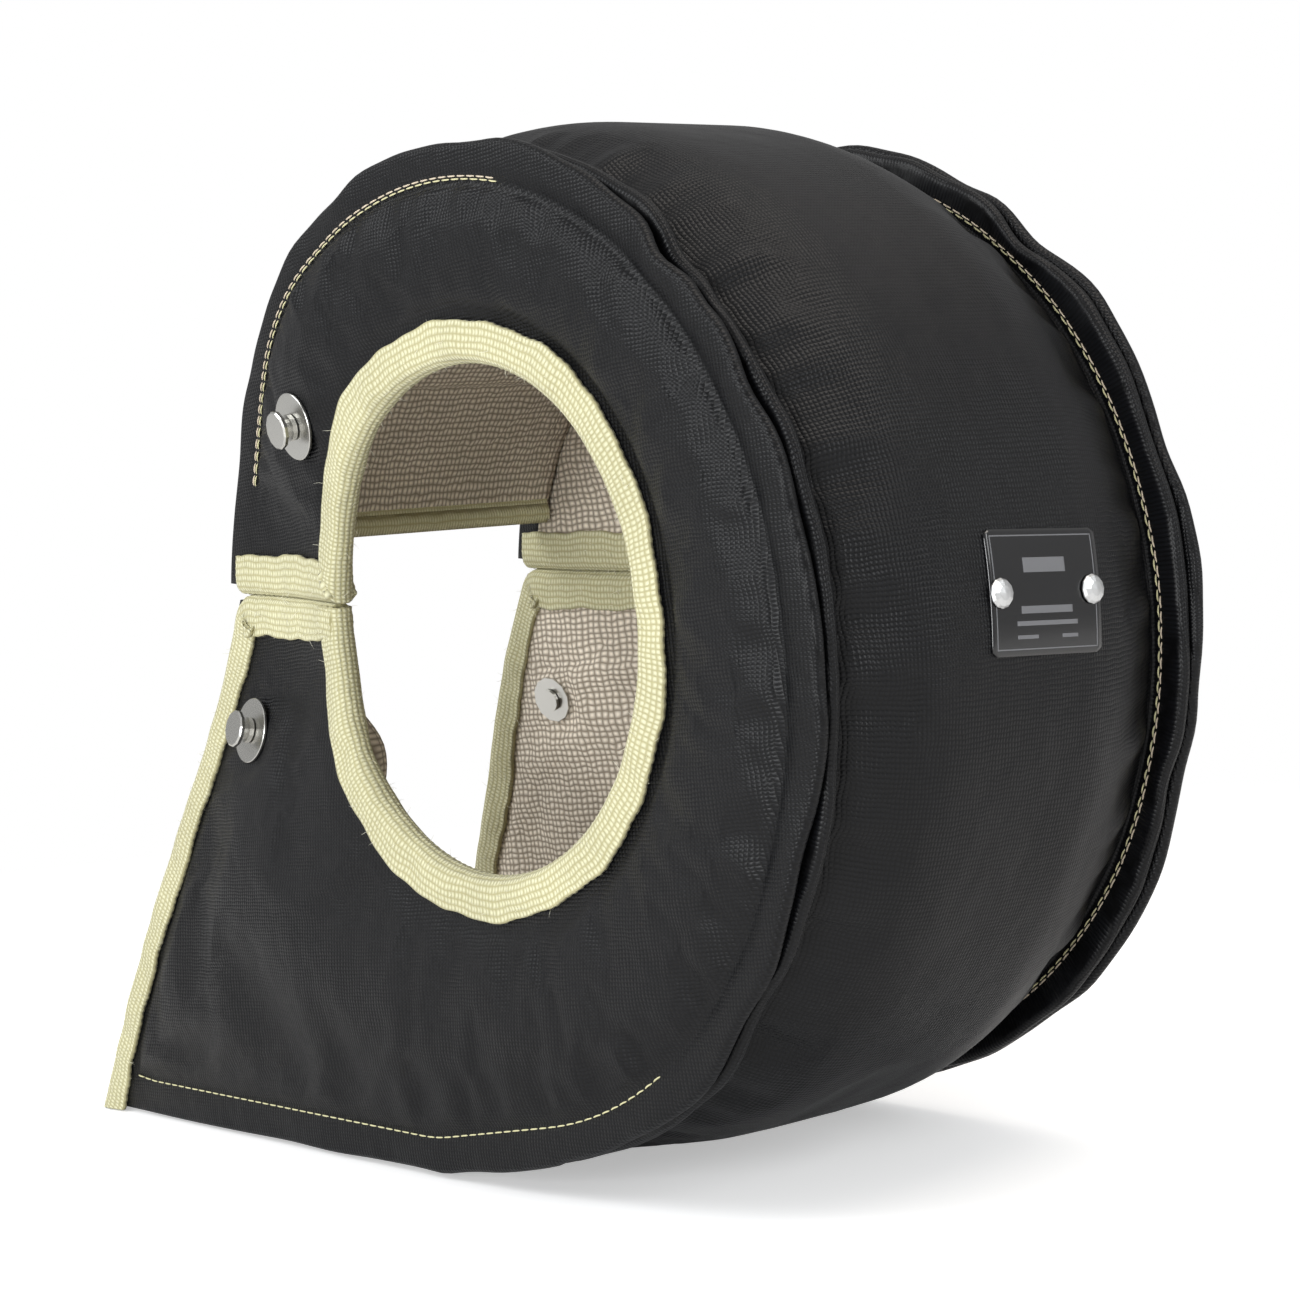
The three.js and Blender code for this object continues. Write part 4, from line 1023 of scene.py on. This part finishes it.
def woven(name, thread, shaded_hollow, pitches, depth, roughness, specular, crumple, folds, sheen=0.0, wear=0.12):
    """A plain weave of rounded threads, with painted shade darkening the gaps between the yarns, a slow drift
    in colour and a soft crumple. Lengths are in mm.
    """
    material, tree, shader = finish(name, Roughness=roughness, Sheen_Weight=sheen)
    shader.inputs["Specular IOR Level"].default_value = specular
    place = node(tree, "ShaderNodeUVMap", uv_map="cloth").outputs["UV"]
    # The yarns wander by a fifth of their spacing
    wander = node(tree, "ShaderNodeTexNoise", {"Vector": place, "Scale": 190.0, "Detail": 1.0})
    half = (0.5, 0.5, 0.5)
    centred = node(tree, "ShaderNodeVectorMath", {0: wander.outputs["Color"], 1: half}, operation="SUBTRACT")
    reach = {0: centred.outputs[0], "Scale": pitches[0] * METRE * 0.9}
    small = node(tree, "ShaderNodeVectorMath", reach, operation="SCALE")
    uneven = node(tree, "ShaderNodeVectorMath", {0: place, 1: small.outputs[0]}, operation="ADD")
    parts = node(tree, "ShaderNodeSeparateXYZ", {"Vector": uneven.outputs[0]})
    waves_of = []
    for axis, pitch in zip("XY", pitches):
        turns = {0: parts.outputs[axis], 1: math.pi / (pitch * METRE)}
        angle = node(tree, "ShaderNodeMath", turns, operation="MULTIPLY").outputs[0]
        waves_of.append(node(tree, "ShaderNodeMath", {0: angle}, operation="SINE").outputs[0])
    crossing = node(tree, "ShaderNodeMath", {0: waves_of[0], 1: waves_of[1]}, operation="MULTIPLY")
    height = node(tree, "ShaderNodeMath", {0: crossing.outputs[0]}, operation="ABSOLUTE").outputs[0]
    spot = node(tree, "ShaderNodeTexCoord").outputs["Object"]
    slow = node(tree, "ShaderNodeTexNoise", {"Vector": spot, "Scale": 28.0, "Detail": 3.0}).outputs["Fac"]
    rough_folds = {"Vector": spot, "Scale": 1 / (folds * METRE), "Detail": 3.0, "Roughness": 0.45}
    fold = node(tree, "ShaderNodeTexNoise", rough_folds).outputs["Fac"]
    # The colour follows the yarn's height: painted shade in the low gaps between the yarns, the yarn's own
    # colour on top
    colours = {0: height, 6: linear(shaded_hollow), 7: linear(thread)}
    shade = node(tree, "ShaderNodeMix", colours, data_type="RGBA").outputs[2]
    span = {"Value": slow, "From Min": 0.3, "From Max": 0.7, "To Min": 1 - wear, "To Max": 1 + wear}
    drift = node(tree, "ShaderNodeMapRange", span).outputs["Result"]
    tinted = node(tree, "ShaderNodeHueSaturation", {"Color": shade, "Value": drift})
    tree.links.new(tinted.outputs["Color"], shader.inputs["Base Color"])
    soft = node(tree, "ShaderNodeBump", {"Height": fold, "Distance": crumple * METRE, "Strength": 1.0})
    fine = {"Height": height, "Distance": depth * METRE, "Strength": 1.0, "Normal": soft.outputs["Normal"]}
    bump = node(tree, "ShaderNodeBump", fine)
    tree.links.new(bump.outputs["Normal"], shader.inputs["Normal"])
    return material


# Black cloth with a rubbery coat: the weave prints through, with a low satin sheen on the folds and painted
# shade in the gaps between the yarns
coated_cloth = woven(
    "silicone coated glass cloth", "#0f1013", "#050506", (1.1, 0.9), 0.12, 0.4, 0.23, 1.9, 19,
)
# Tan coated cloth, coarser and duller, with painted shade darkening the gaps between the yarns
lining_cloth = woven(
    "vermiculite coated silica cloth", "#f0e5d5", "#8d8272", (2.2, 1.7), 0.34, 0.85, 0.2, 1.8, 15, 0.06, 0.12,
)
# Pale untreated tape, thick soft yarns over and under, with painted shade darkening the hollows between them
tape_cloth = woven("woven glass tape", "#d8d6b5", "#aaa47c", (1.1, 1.7), 0.2, 0.8, 0.25, 0.5, 4, 0.1, 0.07)

# Tan sewing thread, glossy as twisted filament is
thread, _, _ = finish("twisted quartz thread", Base_Color=linear("#cdbfa9"), Roughness=0.55)
# Pale loose fibres of the tape
loose_fibre, _, _ = finish("loose glass fibre", Base_Color=linear("#f0eedc"), Roughness=0.6)
# Yellow-green thread of the second needle
thread_green, _, _ = finish("twisted aramid thread", Base_Color=linear("#d0cba0"), Roughness=0.55)
# Off-white needled felt, matt
mat_felt, mat_tree, mat_shader = finish("needled glass mat", Base_Color=linear("#dedacd"), Roughness=0.95)
fuzz = node(mat_tree, "ShaderNodeTexNoise", {"Scale": 900.0, "Detail": 4.0}).outputs["Fac"]
mat_bump = node(mat_tree, "ShaderNodeBump", {"Height": fuzz, "Distance": 0.0004}).outputs["Normal"]
mat_tree.links.new(mat_bump, mat_shader.inputs["Normal"])

# Bright turned steel with fine marks that spread the highlight
steel, steel_tree, steel_shader = finish("turned stainless steel", Base_Color=linear("#c8c7c2"), Metallic=1.0)
marks = node(steel_tree, "ShaderNodeTexNoise", {"Scale": 700.0, "Detail": 2.0}).outputs["Fac"]
rough = node(steel_tree, "ShaderNodeMapRange", {"Value": marks, "To Min": 0.2, "To Max": 0.36})
steel_tree.links.new(rough.outputs["Result"], steel_shader.inputs["Roughness"])
# Dull bright aluminium rivets
aluminium, _, _ = finish("formed aluminium", Base_Color=linear("#d5d6d6"), Metallic=1.0, Roughness=0.36)
# Near-black gloss paint on the plate
gloss_black, _, black_shader = finish("gloss black painted steel", Base_Color=linear("#0d0d0f"))
black_shader.inputs["Roughness"].default_value = 0.22
black_shader.inputs["Coat Weight"].default_value = 0.5
print_grey, _, _ = finish("screen printed grey", Base_Color=linear("#66676a"), Roughness=0.5)

# The blanket, put together
covers = {panel: panel_cover(panel, coated_cloth) for panel in SIDES}
covers["wall"] = wall_cover(coated_cloth)
for panel in SIDES:
    panel_lining(panel, lining_cloth)
    panel_mat(panel, mat_felt)
wall_lining(lining_cloth)
wall_mat(mat_felt)
strips = []
for panel, step in (("front", 0.55), ("back", 0.85)):
    strips.append(hole_binding(panel, tape_cloth, step))
    strips.append(leg_binding(panel, tape_cloth, step))
fibres("tape_fibres", strips, loose_fibre)
end_tape("upper", tape_cloth)
end_tape("lower", tape_cloth)

tan_lines = [
    rim_thread(covers["front"], "front", 9.4, 8, 100),
    rim_thread(covers["back"], "back", 9.4, 8, 262),
    wall_thread(covers["wall"], "front", 7.6, 96, 240),
    wall_thread(covers["wall"], "back", 7.6, 8, 262),
]
green_lines = [
    rim_thread(covers["front"], "front", 10.1, 8, 100),
    rim_thread(covers["front"], "front", 9.8, 236, 322),
    wall_thread(covers["wall"], "back", 8.3, 8, 262),
]
stitches("tan_stitches", tan_lines, thread)
stitches("green_stitches", green_lines, thread_green)



PLATE_THICKNESS = 0.8
PLATE_CORNER = 1.5
PRINT_LIFT = 0.04
PRINT_THICKNESS = 0.05
PRINT_MARGIN = 1.3
FRAME_LINE = 0.28


def plate():
    """The curved plate, with rounded corners, a thin printed frame and blank bars."""
    solid = bpy.data.objects["name_plate"]
    spots = np.array([v.co for v in solid.data.vertices]) / METRE - PLACE
    low, high = spots.min(axis=0), spots.max(axis=0)
    centre = (low + high) / 2
    outward = np.array([centre[0], 0.0, centre[2]])
    outward = outward / np.linalg.norm(outward)
    _, _, axes = np.linalg.svd(spots - spots.mean(axis=0), full_matrices=False)
    normal = axes[2] * (1 if axes[2] @ outward > 0 else -1)
    wide = axes[0] * (1 if axes[0][1] > 0 else -1)
    tall = np.cross(normal, wide)
    tall = tall * (1 if tall[2] > 0 else -1)
    offset = spots - centre
    u, v, w = offset @ wide, offset @ tall, offset @ normal
    mid_u, mid_v = (u.min() + u.max()) / 2, (v.min() + v.max()) / 2
    half_u, half_v = (u.max() - u.min()) / 2, (v.max() - v.min()) / 2
    # The outer face's height, as a quadratic over the plate
    def terms(a, b):
        return np.stack([np.ones_like(a), a, b, a * a, b * b, a * b], -1)

    fit, *_ = np.linalg.lstsq(terms(u, v), w, rcond=None)
    top = w > terms(u, v) @ fit
    fit, *_ = np.linalg.lstsq(terms(u[top], v[top]), w[top], rcond=None)

    def patch(name, across, up, lift, thickness, corner=0.0):
        rows, columns = 28, 36
        y = np.linspace(up[0], up[1], rows)
        past = np.maximum(0, np.abs(y - sum(up) / 2) - ((up[1] - up[0]) / 2 - corner))
        trim = corner - np.sqrt(np.maximum(corner**2 - past**2, 0))
        share = np.linspace(0, 1, columns)[None, :]
        x = (across[0] + trim)[:, None] + (across[1] - across[0] - 2 * trim)[:, None] * share
        y = np.repeat(y[:, None], columns, axis=1)
        z = terms(x, y) @ fit + lift
        place = centre + x[..., None] * wide + y[..., None] * tall + z[..., None] * normal
        made = sheet_of(name, place)
        face_outward(made, (0, 0, 0))
        thicken(made, thickness)
        return made

    def spread(u_low, u_high, v_low, v_high):
        return (mid_u + u_low, mid_u + u_high), (mid_v + v_low, mid_v + v_high)

    body = patch("plate_body", *spread(-half_u, half_u, -half_v, half_v), 0, PLATE_THICKNESS, PLATE_CORNER)
    finish_piece(body, gloss_black, "black_plate", "name_plate")
    edge_u, edge_v, line = half_u - PRINT_MARGIN, half_v - PRINT_MARGIN, FRAME_LINE
    bars = [
        (-edge_u, edge_u, edge_v - line, edge_v), (-edge_u, edge_u, -edge_v, -edge_v + line),
        (-edge_u, -edge_u + line, -edge_v, edge_v), (edge_u - line, edge_u, -edge_v, edge_v),
        (-6.5, 6.5, 4.2, 7.4), (-8, 8, -4.6, -3.0), (-9.5, 9.5, -7.2, -6.2),
        (-9.5, -3, -10.0, -9.2), (4.5, 9.5, -10.0, -9.2),
    ]
    for number, bar in enumerate(bars):
        printed = patch(f"plate_print_{number}", *spread(*bar), PRINT_LIFT, PRINT_THICKNESS)
        finish_piece(printed, print_grey, "black_plate")


def washer(name):
    """A round flat washer with softened edges, where the solid one is."""
    solid = bpy.data.objects[name]
    spots = np.array([v.co for v in solid.data.vertices]) / METRE - PLACE
    centre = (spots.min(axis=0) + spots.max(axis=0)) / 2
    _, _, axes = np.linalg.svd(spots - spots.mean(axis=0), full_matrices=False)
    normal = axes[2]
    height = (spots - centre) @ normal
    radius = np.linalg.norm(spots - centre - height[:, None] * normal, axis=1)
    outer, inner = radius.max(), radius.min()
    low, high = height.min(), height.max()
    soft = 0.15
    profile = [
        (inner, low), (outer - soft, low), (outer, low + soft), (outer, high - soft), (outer - soft, high),
        (inner + soft, high), (inner, high - soft),
    ]
    turn = np.linspace(0, FULL_TURN, 96, endpoint=False)[:, None]
    r = np.array([step[0] for step in profile])[None, :]
    h = np.array([step[1] for step in profile])[None, :]
    rings = centre + (r * np.cos(turn))[..., None] * axes[0] + (r * np.sin(turn))[..., None] * axes[1]
    rings = rings + (h + 0 * turn)[..., None] * normal
    count = len(profile)
    rows = np.arange(len(turn))
    faces = []
    for j in range(count):
        k = (j + 1) % count
        following = (rows + 1) % len(turn)
        corners = [rows * count + j, rows * count + k, following * count + k, following * count + j]
        faces.append(np.stack(corners, -1))
    made = build(f"{name}_disc", rings.reshape(-1, 3), np.concatenate(faces), shade_smooth=False)
    set_outward(made)
    return finish_piece(made, steel, "steel_hardware", name)


plate()
for panel in SIDES:
    for post in ("upper", "lower"):
        washer(f"{panel}_{post}_washer")
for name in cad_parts:
    solid = bpy.data.objects.get(name)
    metal = gloss_black if name == "name_plate" else aluminium if "rivet" in name else steel
    if solid and any(word in name for word in ("plate", "rivet", "post", "washer", "clip", "backing")):
        for place in solid.material_slots:
            place.material = metal

# Camera, floor and light
eye = bpy.data.cameras.new("camera")
eye.lens = 83.08
eye.sensor_width = 36
eye.clip_start = 0.01
camera = bpy.data.objects.new("camera", eye)
bpy.context.scene.collection.objects.link(camera)
right = Vector((0.6425, 0.7630, -0.0709)).normalized()
ahead = Vector((-0.7663, 0.6403, -0.0532)).normalized()
right = (right - ahead * right.dot(ahead)).normalized()
up = right.cross(ahead)
turned = Matrix((right, up, -ahead)).transposed().to_4x4()
camera.matrix_world = Matrix.Translation(Vector((0.5937, -0.4749, 0.1620))) @ turned
bpy.context.scene.camera = camera

floor_mesh = bpy.data.meshes.new("floor")
reach = 9.0
under = -0.0004
corners = [(x * reach, y * reach, under) for x, y in ((-1, -1), (1, -1), (1, 1), (-1, 1))]
floor_mesh.from_pydata(corners, [], [(0, 1, 2, 3)])
floor = bpy.data.objects.new("floor", floor_mesh)
bpy.context.scene.collection.objects.link(floor)
paper, paper_tree, paper_shader = finish("matt white paper", Base_Color=linear("#f2f2f2"), Roughness=1.0)
paper_shader.inputs["Specular IOR Level"].default_value = 0.0
seen = node(paper_tree, "ShaderNodeLightPath").outputs["Is Camera Ray"]
glow = node(paper_tree, "ShaderNodeMath", {0: seen, 1: 0.42}, operation="MULTIPLY").outputs[0]
paper_shader.inputs["Emission Color"].default_value = (1, 1, 1, 1)
paper_tree.links.new(glow, paper_shader.inputs["Emission Strength"])
# Past the object's shadow the paper runs into the white backdrop
spread = node(paper_tree, "ShaderNodeTexCoord").outputs["Object"]
away = node(paper_tree, "ShaderNodeVectorMath", {0: spread}, operation="LENGTH").outputs["Value"]
far = node(paper_tree, "ShaderNodeMapRange", {"Value": away, "From Min": 0.3, "From Max": 0.75})
far_share = {0: far.outputs["Result"], 1: seen}
far_seen = node(paper_tree, "ShaderNodeMath", far_share, operation="MULTIPLY").outputs[0]
white = node(paper_tree, "ShaderNodeEmission", {"Strength": 1.0}).outputs["Emission"]
near_and_far = {0: far_seen, 1: paper_shader.outputs["BSDF"], 2: white}
paper_mix = node(paper_tree, "ShaderNodeMixShader", near_and_far).outputs["Shader"]
paper_out = paper_tree.nodes["Material Output"]
paper_tree.links.new(paper_mix, paper_out.inputs["Surface"])
floor_mesh.materials.append(paper)

world = bpy.data.worlds.new("studio")
bpy.context.scene.world = world
world.use_nodes = True
sky = world.node_tree
sky.nodes.clear()
path_of = node(sky, "ShaderNodeLightPath").outputs["Is Camera Ray"]
room = node(sky, "ShaderNodeBackground", {"Color": (1, 1, 1, 1), "Strength": 0.45}).outputs["Background"]
backdrop = node(sky, "ShaderNodeBackground", {"Color": (1, 1, 1, 1), "Strength": 1.0}).outputs["Background"]
both = node(sky, "ShaderNodeMixShader", {0: path_of, 1: room, 2: backdrop}).outputs["Shader"]
node(sky, "ShaderNodeOutputWorld", {"Surface": both})

middle = Vector((0.0, 0.0, 0.12))
for name, spot, size, power in (
    ("key", (-0.7, -1.3, 1.2), 0.9, 16.0),
    ("front", (0.75, -1.5, 0.35), 0.6, 17.0),
    ("side", (1.6, 0.6, 0.8), 0.7, 9.0),
    ("top", (0.5, 0.2, 1.7), 1.0, 12.0),
):
    lamp = bpy.data.lights.new(name, "AREA")
    lamp.shape = "SQUARE"
    lamp.size = size
    lamp.energy = power
    lamp.color = (1.0, 0.93, 0.86) if name == "top" else (0.97, 0.985, 1.0)
    holder = bpy.data.objects.new(name, lamp)
    bpy.context.scene.collection.objects.link(holder)
    holder.location = spot
    holder.rotation_euler = (middle - Vector(spot)).to_track_quat("-Z", "Y").to_euler()

bpy.context.scene.view_settings.view_transform = "Standard"
